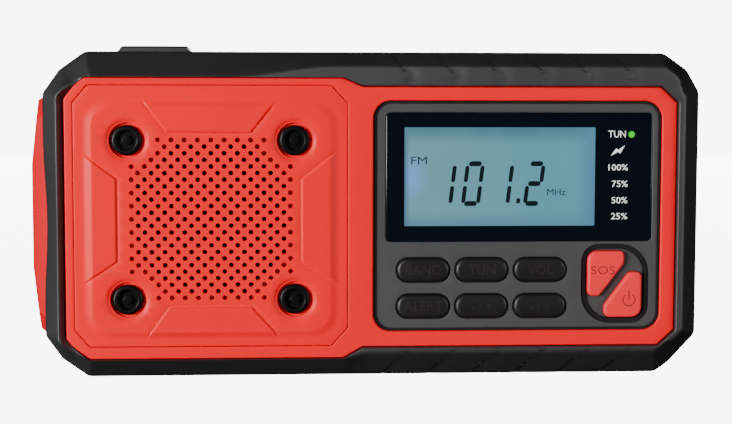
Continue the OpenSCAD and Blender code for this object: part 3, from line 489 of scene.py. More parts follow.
STEEL = material("steel", srgb(176, 178, 182), 0.32, rough_spread=0.08, metal=0.75, mottle=0.05, bump=0.06,
                 scratches=0.6)
CHROME = material("chrome", srgb(214, 216, 220), 0.24, rough_spread=0.05, metal=0.65, mottle=0.03,
                  bump=0.02, scratches=0.3)
BRASS = material("brass", srgb(200, 165, 85), 0.3, metal=1.0, mottle=0.06)
COPPER = material("copper_wire", srgb(176, 100, 52), 0.35, metal=0.7, mottle=0.1)
WHITE = material("white_plastic", srgb(226, 225, 220), 0.45, mottle=0.03)
BOARD = material("board_green", srgb(24, 92, 48), 0.4, mottle=0.1)
PARTS = material("component_grey", srgb(140, 142, 146), 0.4, metal=0.6, mottle=0.1)
FERRITE = material("ferrite", srgb(52, 52, 56), 0.6, mottle=0.15)
FIBRE = material("speaker_fibre", srgb(22, 22, 22), 0.9, mottle=0.15, grain=1500, bump=0.5)
CLEAR = material("clear_plastic", srgb(225, 232, 236), 0.08, rough_spread=0.02, transmission=0.9,
                 mottle=0.02, bump=0.01)
SLEEVE = material("cell_sleeve", srgb(40, 120, 84), 0.35, mottle=0.06)
LED = material("led_green", srgb(150, 235, 160), 0.25, mottle=0.05)
# painted glow: the white printed legends give off a little light of their own
INK_PAINTED_GLOW = material("legend_white", srgb(235, 238, 238), 0.6, mottle=0.02, emission=srgb(235, 238, 238),
               strength=0.45)
# painted glow: the printed green dot gives off light of its own
GREEN_DOT_PAINTED_GLOW = material("legend_green", (0.0, 0.3, 0.004, 1), 0.5, mottle=0.05, emission=(0.0, 0.6, 0.004, 1),
                     strength=1.0)
SEGMENT = material("lcd_segment", (0.002, 0.006, 0.010, 1), 0.5, mottle=0.1, specular=0.2)
FAINT = material("lcd_word", (0.012, 0.028, 0.040, 1), 0.5, mottle=0.1, specular=0.2)
MARK = material("button_mark", srgb(150, 34, 36), 0.6, mottle=0.05)
KEY_MARK = material("key_mark", srgb(44, 38, 37), 0.35, mottle=0.1)


def solar_material():
    """Dark blue cells, each a brick with a thin silver line around it."""
    m = material("solar_cells", srgb(14, 20, 48), 0.18, rough_spread=0.04, mottle=0.2, mottle_scale=120,
                 specular=0.6)
    n, link = m.node_tree.nodes, m.node_tree.links
    where = n.new("ShaderNodeTexCoord")
    cells = n.new("ShaderNodeTexBrick")
    cells.offset = 0
    for socket, value in (("Color1", srgb(14, 20, 48)), ("Color2", srgb(18, 26, 60)),
                          ("Mortar", srgb(150, 152, 156)), ("Scale", 1), ("Mortar Size", 0.22 * MM),
                          ("Brick Width", 11.7 * MM), ("Row Height", 5.9 * MM)):
        cells.inputs[socket].default_value = value
    link.new(where.outputs["Object"], cells.inputs["Vector"])
    link.new(cells.outputs["Color"], n["Principled BSDF"].inputs["Base Color"])
    return m


def lcd_material(x0, x1, z0, z1):
    """Backlit display: pale blue-grey, bluer towards the rim, with a blue glow from a lamp at its left."""
    m = bpy.data.materials.new("lcd_backlit")
    m.use_nodes = True
    t = m.node_tree
    n, link = t.nodes, t.links
    shader = n["Principled BSDF"]
    shader.inputs["Roughness"].default_value = 0.35
    shader.inputs["Specular IOR Level"].default_value = 0.2
    where = n.new("ShaderNodeTexCoord")
    axes = n.new("ShaderNodeSeparateXYZ")
    link.new(where.outputs["Object"], axes.inputs["Vector"])

    def mapped(socket, start, end, lo=0.0, hi=1.0):
        span = n.new("ShaderNodeMapRange")
        span.interpolation_type = "SMOOTHSTEP"
        for name, value in (("From Min", start), ("From Max", end), ("To Min", lo), ("To Max", hi)):
            span.inputs[name].default_value = value
        link.new(socket, span.inputs["Value"])
        return span.outputs["Result"]

    def mixed(factor, a, b):
        mix = n.new("ShaderNodeMix")
        mix.data_type = "RGBA"
        link.new(factor, mix.inputs["Factor"])
        for name, value in (("A", a), ("B", b)):
            if isinstance(value, tuple):
                mix.inputs[name].default_value = value
            else:
                link.new(value, mix.inputs[name])
        return mix.outputs["Result"]

    X, Z = axes.outputs["X"], axes.outputs["Z"]
    body = mixed(mapped(X, x0, x1), srgb(116, 178, 188), srgb(94, 170, 192))
    body = mixed(mapped(Z, z1 - 5 * MM, z1), body, srgb(76, 128, 148))
    body = mixed(mapped(Z, z0 + 4 * MM, z0), body, srgb(92, 148, 176))
    body = mixed(mapped(X, x1 - 6 * MM, x1), body, srgb(84, 142, 182))
    glow = n.new("ShaderNodeVectorMath")
    glow.operation = "DISTANCE"
    glow.inputs[1].default_value = (x0, PANEL_Y * MM, (z0 + z1) / 2)
    link.new(where.outputs["Object"], glow.inputs[0])
    body = mixed(mapped(glow.outputs["Value"], 8 * MM, 0), body, (0.22, 0.5, 1.1, 1))
    body = mixed(mapped(X, x0 + 1.6 * MM, x0), body, srgb(88, 128, 160))
    haze = noise(t, where, 70, 3)
    body = mixed(mapped(haze, 0.3, 0.75, 0, 0.2), body, srgb(122, 182, 192))
    link.new(body, shader.inputs["Emission Color"])
    shader.inputs["Emission Strength"].default_value = 0.8
    unlit = mixed(mapped(haze, 0.2, 0.8), srgb(30, 44, 50), srgb(36, 50, 56))
    link.new(unlit, shader.inputs["Base Color"])
    return m


SLOT_LOOK = {
    "red_plastic": RED, "black_rubber": RUBBER, "black_plastic": SHELL, "grey_plastic": GREY,
    "grey_rubber": PAD_GREY, "lens": LENS, "lcd": WHITE, "white_plastic": WHITE, "board_green": BOARD,
    "component_grey": PARTS, "led_green": LED, "steel": STEEL, "chrome": CHROME, "ferrite": FERRITE,
    "paper_black": FIBRE, "clear_plastic": CLEAR, "solar_blue": solar_material(), "cell_sleeve": SLEEVE,
    "brass": BRASS, "copper": COPPER,
}


# ------------------------------------------------------------------ CAD pieces that stay as they are

# Bevel widths, in millimetres, of the pieces whose edges are rounded
EDGE = {"rear_shell": 0.35, "solar_lid": 0.3, "battery_door": 0.2, "port_cover": 0.25, "crank_arm": 0.35,
        "lamp_button": 0.5, "flashlight_bezel": 0.6, "base_pad": 0.3, "antenna_post": 0.15}


def round_edges(obj, width):
    """Joins flat faces, bevels the sharp edges and evens the shading, all as modifiers."""
    weld = obj.modifiers.new("weld", "WELD")
    weld.merge_threshold = 1e-6
    joined = obj.modifiers.new("flat", "DECIMATE")
    joined.decimate_type = "DISSOLVE"
    joined.angle_limit = math.radians(1)
    bevel = obj.modifiers.new("edges", "BEVEL")
    bevel.width = width * MM
    bevel.segments = 3
    bevel.limit_method = "ANGLE"
    bevel.angle_limit = math.radians(28)
    bevel.use_clamp_overlap = True
    even = obj.modifiers.new("normals", "WEIGHTED_NORMAL")
    even.keep_sharp = True
    for f in obj.data.polygons:
        f.use_smooth = True


for node, obj in NODES.items():
    obj.data.materials.clear()
    # the flashlight's cover takes the darker red of painted shade
    obj.data.materials.append(RED_PAINTED_SHADE if node == "flashlight_bezel" else SLOT_LOOK[SLOTS[node]])
    if node in EDGE:
        round_edges(obj, EDGE[node])


# ------------------------------------------------------------------ outlines shared by the front pieces

top_right = [(HALF_W, HALF_H - 9.9), (HALF_W - 3.3, HALF_H - 4.3), (HALF_W - 9.4, HALF_H)]
top_left = [(10.8 - HALF_W, HALF_H), (4.2 - HALF_W, HALF_H - 4.7), (-HALF_W, HALF_H - 10.6)]
bottom_left = [(x, -z) for x, z in top_left[::-1]]
bottom_right = [(HALF_W - 10.5, 0.1 - HALF_H), (HALF_W - 7, 2.6 - HALF_H), (HALF_W, 10.1 - HALF_H)]
OUTLINE = rounded(top_right + top_left + bottom_left + bottom_right, 3.0, 5)

# the red face is taller around the speaker than around the display
face_left, face_right = 6 - HALF_W, HALF_W - 7
tall_top, low_top = HALF_H - 6.6, HALF_H - 8.8
tall_bottom, low_bottom = 5.4 - HALF_H, 8.2 - HALF_H
step_low, step_tall = -3.2, -8
FACE = rounded([(face_right, low_top - 3.9), (face_right - 4.2, low_top), (step_low, low_top),
                (step_tall, tall_top), (face_left + 5.1, tall_top), (face_left + 2.5, tall_top - 2.1),
                (face_left, tall_top - 5.3), (face_left, tall_bottom + 5.3),
                (face_left + 1.5, tall_bottom + 3.3), (face_left + 5.7, tall_bottom),
                (step_tall, tall_bottom), (step_low, low_bottom), (face_right - 4.2, low_bottom),
                (face_right, low_bottom + 3.9)], 0.7, 4)

SPK_X, SPK_Z = -41.4, -0.6      # middle of the speaker
cover_left, cover_right, cover_half = SPK_X - 34.4, SPK_X + 34.4, 33.0
COVER = rounded([(cover_right, cover_half - 4.5), (cover_right - 4.1, cover_half),
                 (cover_left + 3.7, cover_half), (cover_left, cover_half - 4.4),
                 (cover_left, 4.4 - cover_half), (cover_left + 3.7, -cover_half),
                 (cover_right - 4.1, -cover_half), (cover_right, 4.5 - cover_half)], 1.2, 5)
PANEL = rectangle(-0.5, 73.2, -29.4, 29.2, 4.5, 12)


# ------------------------------------------------------------------ bumper

FACE_GAP = 0.15             # between the bumper and the red face
CHAMFER_DEPTH = 7           # how far back the bumper's outer edge lies
SIDE_CHAMFER = 4.5          # width of the chamfer along the right side
SLOPE_WIDTH = 1.5           # of the inner slope down to the red face, on the left
SLOPE_DEPTH = 2.4
GROOVE_DEPTH = 0.32
GROOVE_RAMP = 4.4           # width of the ramp from a groove back up to the surface
GROOVE_STEP = 0.3           # width of the step down into it


def groove_paths():
    """Grip grooves along the right half, curving down from the top edge and going up from the bottom one."""
    top = [(0, 0.6), (2.9, -3.4), (3.9, -4.5), (4.45, -5.3), (4.4, -6)]
    bottom = [(-1.9, -0.6), (2.6, 4.9), (3.2, 5.6)]
    paths = []
    for x in (3.3, 15, 26.4, 37.8, 49, 60.2):
        paths.append([(x + dx, HALF_H + dz) for dx, dz in top])
        paths.append([(x + dx, dz - HALF_H) for dx, dz in bottom])
    return paths


GROOVES = groove_paths()


def groove_depth(P, path):
    """The surface steps down at the line and climbs back over a long ramp on its right."""
    dist, side = path_distance(P, path)
    on_ramp = side > 0 if path[0][1] > 0 else side < 0
    fall = GROOVE_DEPTH * np.where(on_ramp, ease(1 - dist / GROOVE_RAMP), ease(1 - dist / GROOVE_STEP))
    end = np.hypot(P[:, 0] - path[-1][0], P[:, 1] - path[-1][1])
    return fall * ease(end / 1.6)


def bumper_height(P):
    x, z = P[:, 0], P[:, 1]
    outer = signed_distance(P, OUTLINE)
    inner = -signed_distance(P, FACE) - FACE_GAP
    # rises along each cut corner, from about -49 at the side to about -38 at the top or bottom
    corner = np.abs(z) - np.abs(x)
    level = ease((corner + 46) / 6)
    up, down = level * (z > 0), level * (z < 0)
    # 1 beside the speaker and beside the display, changing over near the middle
    left, right = ease((-3 - x) / 4), ease((x + 8) / 6)
    # on the left the chamfer ends where the inner slope starts, and that slope tapers out along the corners
    taper = 1 - np.clip((corner + 48.4) / 10.4, 0, 1)
    slope = SLOPE_WIDTH * taper + 0.1
    width = SIDE_CHAMFER + 0.6 * ease((x - 70) / 8)
    width = width + left * (outer + inner - slope - width)
    # along the top it widens towards the left, and along the bottom it is wider on the right half
    width = width + up * (3.6 + 2.8 * ease((-10 - x) / 26) - width)
    width = width + down * (5.3 + 1.2 * right - width)
    t = 1 - outer / width
    t = (t + np.sqrt(t * t + 0.006)) / 2        # about 0 on the front lip, and rounded at its crest
    outer_round = 0.3 * (1 - ease(outer / 0.7))
    y = LIP_Y + CHAMFER_DEPTH * np.minimum(t, 1) + outer_round
    # inner edge: a slope down to the tall red face on the left, a tight radius on the right
    y += left * taper * SLOPE_DEPTH * ease(1 - inner / (slope + 0.1)) + (1 - left) * roll_off(inner, 0.35)
    for path in GROOVES:
        near = np.nonzero((np.abs(x - path[1][0]) < 9) & (z * path[0][1] > 0))[0]
        if len(near):
            y[near] += groove_depth(P[near], path)
    return np.minimum(y, SPLIT_Y - 3)


def groove_points():
    """Points on lines along each groove, for the mesh to follow: both sides of it, then up its ramp."""
    points = []
    for path in GROOVES:
        p = np.array(path, float)
        along = np.gradient(p, axis=0)
        along /= np.hypot(*along.T)[:, None]
        normal = np.stack([-along[:, 1], along[:, 0]], 1)
        ramp_side = 1 if path[0][1] > 0 else -1
        for away in (0.06, 0.25, 0.5, 1.2, 2.2, 3.3, GROOVE_RAMP):
            for side in (-1, 1) if away < 0.6 else (ramp_side,):
                line = dense(p + side * away * normal, 0.35, closed=False)
                inside = (signed_distance(line, OUTLINE) > 0.05) & (signed_distance(line, FACE) < -0.3)
                points += list(line[inside])
    return points


def waist(x, z):
    """x, drawn in a little along the bumper's left edge between its two corners."""
    depth, reach, middle, half = 0.8, 4.4, -2, 22
    if abs(z - middle) >= half:
        return x
    near = max(0, min(1, 1 - (x + HALF_W) / reach))
    return x + depth * near * math.cos(math.pi * (z - middle) / (2 * half)) ** 2


loops = offsets(OUTLINE, (0.12, 0.3, 0.7, 1.6, 2.6, 3.2, 3.6, 4.0, 4.3, 4.5, 4.8, 5.1, 5.4, 5.9, 6.4, 6.9),
                1.2)
loops += offsets(FACE, (-0.25, -0.35, -0.5, -0.8, -1.2, -1.5, -1.85), 1.5)
opening = dense(offset(FACE, -FACE_GAP), 1.5)
bumper = relief("bumper_skin", dense(OUTLINE, 1.5), [opening], loops, bumper_height, SPLIT_Y, RUBBER,
                grid=1.1, smooth=60, points=groove_points())
for v in bumper.data.vertices:
    v.co.x = waist(v.co.x / MM, v.co.z / MM - MID_Z) * MM
finished(bumper, "bumper")


# ------------------------------------------------------------------ red front case

cover_gap = offset(COVER, -0.12)
ROUND_EDGE = (0.06, 0.16, 0.28, 0.4)        # rings over a rounded edge of 0.4 mm


def front_height(P):
    d = signed_distance(P, FACE)
    for hole in (COVER, PANEL):
        d = np.minimum(d, -signed_distance(P, hole))
    return FACE_Y + roll_off(d, 0.4)


loops = offsets(FACE, ROUND_EDGE)
for hole in (cover_gap, PANEL):
    loops += offsets(hole, [-d for d in ROUND_EDGE])
finished(relief("front_case_face", FACE, [cover_gap, PANEL], loops, front_height, FLANGE_Y + 0.5, RED),
         "front_shell")
wide, narrow = 19.1, 9.1        # corners of the opening behind the speaker's holes
octagon = [(wide, -narrow), (wide, narrow), (narrow, wide), (-narrow, wide), (-wide, narrow),
           (-wide, -narrow), (-narrow, -wide), (narrow, -wide)]
sound = [(SPK_X + dx, SPK_Z + dz) for dx, dz in octagon]
trim(relief("front_case_flange", offset(OUTLINE, 4.6), [sound, offset(PANEL, 0.8)], [], flat(FLANGE_Y),
            FLANGE_Y + 2, RED), "front_shell")
tub_inset, tub_wall = 3.6, 2
trim(relief("front_case_tub", offset(OUTLINE, tub_inset), [offset(OUTLINE, tub_inset + tub_wall)], [],
            flat(FLANGE_Y + 1), SPLIT_Y, RED), "front_shell")


# ------------------------------------------------------------------ speaker cover

PITCH = 1.66                # of the rows of holes, in both directions
HOLE_R = 0.62
ROWS = 25
CORNER_CUT = (4, 5, 4, 3)   # places left empty at both ends of the four outer rows
SCREWS = [(SPK_X + i * 21, SPK_Z - 0.3 + k * 20.1) for i in (-1, 1) for k in (-1, 1)]
RECESS_R, RECESS_DEPTH = 4.45, 0.9      # of the round recesses for the screws
PAD_RISE, TAB_RISE, TAB_GROOVE = 0.46, 0.32, 0.2
PAD = rectangle(SPK_X - 32.1, SPK_X + 32.3, -31.1, 29.4, 6.5, 10)
TABS = [rounded(t, 0.5, 3) for t in (
    [(-59.1, 30.4), (-57.9, 28.8), (-52.4, 21.4), (-31.5, 21.2), (-25.5, 28.8), (-24.3, 30.4)],
    [(-24.4, -31), (-25.6, -29.4), (-31.5, -22.9), (-52.1, -23.1), (-57.1, -30.3), (-58.1, -31.8)],
    [(-75.2, 16.7), (-75.2, -17.3), (-73.5, -16.7), (-65.2, -11.3), (-65.2, 9.5), (-73.5, 15.5)],
    [(-8.4, -17.5), (-8.4, 16.9), (-10.1, 15.9), (-18.5, 9.4), (-18.5, -11.3), (-9.8, -16.7)],
)]


def sound_holes():
    """A diagonal pattern, with the corners of its square cut off."""
    out = []
    for i in range(ROWS):
        for k in range(ROWS):
            row, place = min(k, ROWS - 1 - k), min(i, ROWS - 1 - i)
            cut = CORNER_CUT[row] if row < len(CORNER_CUT) else 0
            if (i + k) % 2 == 0 and place >= cut:
                out.append((SPK_X + (i - ROWS // 2) * PITCH, SPK_Z + (k - ROWS // 2) * PITCH))
    return out


def pad_slope(P):
    """1 on the raised speaker pad, falling to 0 at its edge: steep at first, then in a long fillet."""
    at_side = ease((np.abs(P[:, 0] - SPK_X) - 24) / 5)
    t = np.clip(signed_distance(P, PAD) / (1.8 + 0.5 * at_side), 0, 1)
    return t * t * (1.7 - 0.7 * t)


def cover_height(P):
    """The pad and its tabs stand out, with a thin groove around each tab and a dip around each screw."""
    tab, cut = np.zeros(len(P)), np.zeros(len(P))
    for t in TABS:
        d = signed_distance(P, t)
        tab = np.maximum(tab, ease(d / 0.3 + 0.5))
        cut = np.maximum(cut, ease((d + 0.62) / 0.2) * (1 - ease((d + 0.32) / 0.2)))
    rise = pad_slope(P) * (PAD_RISE + TAB_RISE * tab - TAB_GROOVE * cut)
    y = FACE_Y - rise + roll_off(signed_distance(P, COVER), 0.35)
    for x, z in SCREWS:
        r = np.hypot(P[:, 0] - x, P[:, 1] - z)
        dip = 0.45 * (1 - ease((r - 4.7) / 0.9)) * (r < 5.7)
        y = np.where(r < RECESS_R, FACE_Y + RECESS_DEPTH, y + dip)
    return y


loops = offsets(COVER, (0.08, 0.2, 0.35)) + offsets(PAD, (0, 0.4, 0.8, 1.2, 1.5, 1.8, 2.1, 2.4, 2.7), 1.2)
for t in TABS:
    loops += offsets(t, (-0.72, -0.55, -0.42, -0.28, -0.12, 0, 0.12, 0.25, 0.6), 0.9)
for x, z in SCREWS:
    loops += [circle(x, z, r, 40) for r in (4.4, 4.5, 4.7, 4.95, 5.25, 5.6)]
bores = [circle(x, z, HOLE_R, 14) for x, z in sound_holes()]
finished(relief("speaker_cover", COVER, bores, loops, cover_height, FLANGE_Y, RED, hole_back=FLANGE_Y - 0.02,
                grid=2.2, smooth=50), "speaker_grille")

HEAD_R, SOCKET_R, POST_R = 3.85, 2.45, 1.3


def socket_screw(i, x, z):
    """A round rim, a dark recess and a small six-sided post in it. Returns the rim."""
    def crown(P):
        r = np.hypot(P[:, 0] - x, P[:, 1] - z)
        return FACE_Y - 0.35 + roll_off(HEAD_R - r, 0.6) + roll_off(r - SOCKET_R, 0.25)

    rings = [circle(x, z, r, 40) for r in (3.8, 3.65, 3.4, 3.2, 2.8, 2.65, 2.52)]
    bottom = FACE_Y + RECESS_DEPTH
    head = relief("screw_head_%d" % i, circle(x, z, HEAD_R, 40), [circle(x, z, SOCKET_R, 32)], rings, crown,
                  bottom, SCREW, smooth=45)
    recess = prism("screw_recess_%d" % i, circle(x, z, 3.0, 24), FACE_Y + 0.6, bottom, SCREW)
    post = prism("screw_post_%d" % i, circle(x, z, POST_R, 6), FACE_Y - 0.05, FACE_Y + 0.7, SCREW,
                 edge=0.12)
    for obj in (head, recess, post):
        trim(obj, "grille_screws")
    return head


heads = [socket_screw(i, x, z) for i, (x, z) in enumerate(SCREWS)]
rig.replaces(heads[0], "grille_screws")


# ------------------------------------------------------------------ display panel

LENS_LOOP = rectangle(2.7, 71.0, -6.65, 26.2, 1.3, 6)
WINDOW_X, WINDOW_Z = (7.4, 56.2), (-2.6, 22.5)
WINDOW = rectangle(*WINDOW_X, *WINDOW_Z, 0.25, 3)
KEY_WORDS = {"band_key": "BAND", "tune_up_key": "TUN", "volume_up_key": "VOL", "alert_key": "ALERT",
             "tune_down_key": "- / +", "volume_down_key": "- / +"}
KEY_PLACES = [(x, z) for z in (-13.9, -23.2) for x in (12.3, 27.3, 42.3)]
KEYS = dict(zip(KEY_WORDS, KEY_PLACES))
KEY_HOLES = [pill(x, z, 13.8, 6.5) for x, z in KEY_PLACES]
leaf_left, leaf_right, leaf_bottom, leaf_top = 52.9, 70.7, -27.9, -7.3
LEAF = rounded([(leaf_right, leaf_top), (leaf_left, leaf_top), (leaf_left, leaf_bottom),
                (leaf_right, leaf_bottom)], [7.8, 4.6, 7.8, 4.6], 12)
SOS = rounded([(64.1, -9.1), (54.6, -9.1), (54.6, -20.8), (57.7, -20.8), (64.1, -12.3)],
              [1.2, 2.6, 2.2, 1.8, 1.8], 7)
POWER = rounded([(68.7, -14.5), (65.5, -14.5), (59, -23.2), (59, -26.3), (68.7, -26.3)],
                [2.2, 1.8, 1.8, 1.6, 2.6], 7)


PANEL_GAP = 0.52                        # between the panel and the red face
TRENCH_DEPTH, ISLAND_DEPTH = 2.6, 1.0   # around the leaf, and over it


def panel_height(P):
    d = signed_distance(P, PANEL) - PANEL_GAP
    for hole in [LENS_LOOP] + KEY_HOLES:
        d = np.minimum(d, np.maximum(0, -signed_distance(P, hole)))
    # the leaf is a floor a little below the panel, with a deeper trench around it
    leaf = signed_distance(P, LEAF)
    trench = ease((leaf - 0.05) / 0.25) * (1 - ease((leaf - 1.15) / 0.3))
    island = ease((leaf - 1.05) / 0.3)
    return PANEL_Y + roll_off(d, 0.3) + TRENCH_DEPTH * trench + ISLAND_DEPTH * island


loops = []
for hole in [LENS_LOOP] + KEY_HOLES:
    loops += offsets(hole, (-0.08, -0.18, -0.3))
loops += offsets(PANEL, (0.6, 0.66, 0.78, 0.92))
loops += offsets(LEAF, (0, 0.08, 0.16, 0.25, 0.35, 0.7, 1.1, 1.2, 1.3, 1.42))
holes = [LENS_LOOP] + KEY_HOLES + [offset(SOS, -0.15), offset(POWER, -0.15)]
finished(relief("display_panel_face", offset(PANEL, 0.55), holes, loops, panel_height, FLANGE_Y + 2, GREY,
                grid=3, smooth=40), "display_panel")
# painted shade: dark rings laid in the gap around the panel and in the trench around the two red buttons, where there
# is only shadow
for name, outer, inner, y in (("panel_seal", offset(PANEL, 0.03), offset(PANEL, 0.7), PANEL_Y - 0.3),
                              ("button_seal", offset(LEAF, 0.12), offset(LEAF, 1.28), PANEL_Y + 0.55)):
    trim(prism(name, outer, y, y + 0.9, KEY, hollow=[inner]), "display_panel")

LENS_Y = PANEL_Y - 0.1
finished(relief("display_lens_face", offset(LENS_LOOP, 0.05), [WINDOW], offsets(LENS_LOOP, (0.1, 0.2, 0.35)),
                lambda P: LENS_Y + roll_off(signed_distance(P, LENS_LOOP), 0.3), PANEL_Y + 1.1, LENS),
         "display_lens")
picture = lcd_material(*[x * MM for x in WINDOW_X], *[(z + MID_Z) * MM for z in WINDOW_Z])
finished(relief("lcd_picture", offset(WINDOW, -0.02), [], [], flat(PANEL_Y - 0.02), PANEL_Y + 2.6, picture),
         "lcd_glass")


# ------------------------------------------------------------------ printed marks

SEGMENTS = {"0": "abcdef", "1": "bc", "2": "abged"}
PRINT = 0.03        # thickness of a printed mark


def flat_shape(name, loops, y, material, node):
    """Thin printed shapes in one mesh, with their fronts at depth y. Each loop is a closed polygon."""
    bm = bmesh.new()
    for loop in loops:
        back, front = ([bm.verts.new((x * MM, depth * MM, (z + MID_Z) * MM)) for x, z in loop]
                       for depth in (y + PRINT, y))
        bm.faces.new(front)
        bm.faces.new(back[::-1])
        for i in range(len(loop)):
            j = (i + 1) % len(loop)
            bm.faces.new((front[i], front[j], back[j], back[i]))
    bmesh.ops.recalc_face_normals(bm, faces=bm.faces)
    mesh = bpy.data.meshes.new(name)
    bm.to_mesh(mesh)
    bm.free()
    mesh.materials.append(material)
    return trim(linked(name, mesh), node)


def stroke(points, w):
    """Outline of a round-ended line of width w through points."""
    p = np.array(points, float)
    left, right = [], []
    for i in range(len(p)):
        a = p[min(i + 1, len(p) - 1)] - p[max(i - 1, 0)]
        a /= np.hypot(*a)
        m = np.array([-a[1], a[0]]) * w / 2
        left.append(p[i] + m)
        right.append(p[i] - m)

    def cap(end, out):
        start = math.atan2(out[1], out[0]) - math.pi / 2
        angles = [start + math.pi * k / 5 for k in range(1, 5)]
        return [end + w / 2 * np.array([math.cos(t), math.sin(t)]) for t in angles]

    return right + cap(p[-1], p[-1] - p[-2]) + left[::-1] + cap(p[0], p[0] - p[1])


def digit(ch, x, z, w):
    """Seven-segment digit. x is its left posts' middle at the foot, and w how far the right ones are."""
    lower, upper = (1.25, 4.6), (6.55, 9.75)
    posts = {"b": (w, upper), "c": (w, lower), "e": (0, lower), "f": (0, upper)}
    bars = {"a": 10.75, "g": 5.67, "d": 0.6}
    bar_half, bar_w, post_w, slant = 0.98, 1.26, 1.02, 0.12
    out = []
    for s in SEGMENTS[ch]:
        if s in bars:
            line = stroke([(w / 2 - bar_half, bars[s]), (w / 2 + bar_half, bars[s])], bar_w)
        else:
            at, (z0, z1) = posts[s]
            line = stroke([(at, z0), (at, z1)], post_w)
        out.append([(x + a + slant * b, z + b) for a, b in line])
    return out


def words(name, text, x, z, height, y, material, node, place=0.0, wide=1.0, thick=PRINT):
    """Flat lettering, height high. x is its left end, middle or right end for place 0, 0.5 or 1."""
    curve = bpy.data.curves.new(name + "_text", "FONT")
    curve.body = text
    curve.size = 1
    curve.extrude = 0.5
    curve.resolution_u = 4
    tmp = linked(name + "_text", curve)
    bpy.context.view_layer.update()
    mesh = bpy.data.meshes.new_from_object(tmp.evaluated_get(bpy.context.evaluated_depsgraph_get()))
    bpy.data.objects.remove(tmp)
    bpy.data.curves.remove(curve)
    v = np.array([tuple(q.co) for q in mesh.vertices])
    lo, hi = v.min(0), v.max(0)
    scale = height / (hi[1] - lo[1])
    left = x - place * (hi[0] - lo[0]) * scale * wide
    for q in mesh.vertices:
        q.co = ((left + (q.co.x - lo[0]) * scale * wide) * MM, (y - (q.co.z + 0.5) * thick) * MM,
                (z + (q.co.y - lo[1]) * scale + MID_Z) * MM)
    mesh.materials.clear()
    mesh.materials.append(material)
    return trim(linked(name, mesh), node)


point = [(36.0, 3.15), (36.95, 3.15), (37.1, 4.4), (36.15, 4.4)]
lit = [line for ch, x, w in (("1", 15.3, 3.75), ("0", 22.3, 3.84), ("1", 29.95, 3.75), ("2", 38.2, 3.5))
       for line in digit(ch, x, 2.5, w)]
flat_shape("lcd_digits", lit + [point], PANEL_Y - 0.05, SEGMENT, "lcd_glass")
words("lcd_fm", "FM", 9.1, 13.1, 1.95, PANEL_Y - 0.03, FAINT, "lcd_glass", wide=1.28)
words("lcd_mhz", "MHz", 43.95, 5.2, 1.65, PANEL_Y - 0.03, FAINT, "lcd_glass", wide=1.06)

# painted glow: the white legends on the lens glow a little
words("legend_tun", "TUN", 64.0, 19.95, 1.7, LENS_Y, INK_PAINTED_GLOW, "display_lens", place=1, wide=0.91)
# painted glow: the green dot glows
flat_shape("legend_dot", [circle(65.5, 20.7, 0.83, 24)], LENS_Y - PRINT, GREEN_DOT_PAINTED_GLOW, "display_lens")
bolt = [(60.2, 15.25), (61.55, 17.15), (62.15, 16.75), (63.85, 17.95), (62.6, 15.85), (62.0, 16.25)]
flat_shape("legend_bolt", [bolt], LENS_Y - PRINT, INK_PAINTED_GLOW, "display_lens")
for text, z in (("100%", 11.5), ("75%", 7.3), ("50%", 3.1), ("25%", -1.0)):
    words("legend_" + text.strip("%"), text, 64.65, z, 1.6, LENS_Y, INK_PAINTED_GLOW, "display_lens", place=1, wide=1.12)


# ------------------------------------------------------------------ keys and buttons

def button_cap(node, loop, rings, drop, material):
    """The cap of a CAD key. drop(d) is how far its top has dropped at distance d from its edge."""
    def height(P):
        return front_of(node) + drop(signed_distance(P, loop))

    back = PANEL_Y + 4.2
    finished(relief(node + "_cap", loop, [], offsets(loop, rings), height, back, material, smooth=50), node)


def key_drop(d):
    return roll_off(d, 0.9) * 0.9 + 0.12 * (1 - ease(d / 3))


def button_drop(d):
    return roll_off(d, 0.7)


EMBOSSED = 0.08     # depth of the words on the keys
for node, (x, z) in KEYS.items():
    button_cap(node, pill(x, z, 13.5, 6.2, 14), (0.06, 0.16, 0.3, 0.5, 0.75, 1.05, 1.5, 2.2), key_drop, KEY)
    capital = 2.2 if "/" in KEY_WORDS[node] else 2.5
    words(node + "_word", KEY_WORDS[node], x, z - 1.15, capital, front_of(node) + EMBOSSED, KEY_MARK, node,
          place=0.5, wide=0.95, thick=EMBOSSED)

for node, loop in (("sos_button", SOS), ("power_button", POWER)):
    button_cap(node, loop, (0.05, 0.14, 0.26, 0.42, 0.6, 0.8), button_drop, RED_KEY)
button_y = front_of("sos_button")
words("sos_word", "SOS", 58.5, -15.1, 2.1, button_y, MARK, "sos_button", place=0.5, wide=1.22)
power_x, power_z, power_r, line_w = 65.35, -21.7, 1.55, 0.32
arc = [(power_x + power_r * math.sin(a), power_z + power_r * math.cos(a))
       for a in np.radians(np.arange(38, 323, 12))]
bar = [(power_x, power_z + 2.2), (power_x, power_z + 0.1)]
flat_shape("power_symbol", [stroke(arc, line_w), stroke(bar, line_w)], button_y - PRINT, MARK,
           "power_button")


# ------------------------------------------------------------------ raised rim around the lamp button

def ray_length(loop, ca, sa):
    """How far a ray from the middle goes before it leaves a convex loop."""
    p = np.array(loop, float)
    e = np.roll(p, -1, axis=0) - p
    den = ca * e[:, 1] - sa * e[:, 0]
    den = np.where(np.abs(den) < 1e-9, 1e-9, den)
    t = (p[:, 0] * e[:, 1] - p[:, 1] * e[:, 0]) / den
    u = (p[:, 0] * sa - p[:, 1] * ca) / den
    return t[(t > 0) & (u >= -1e-6) & (u <= 1 + 1e-6)].min()


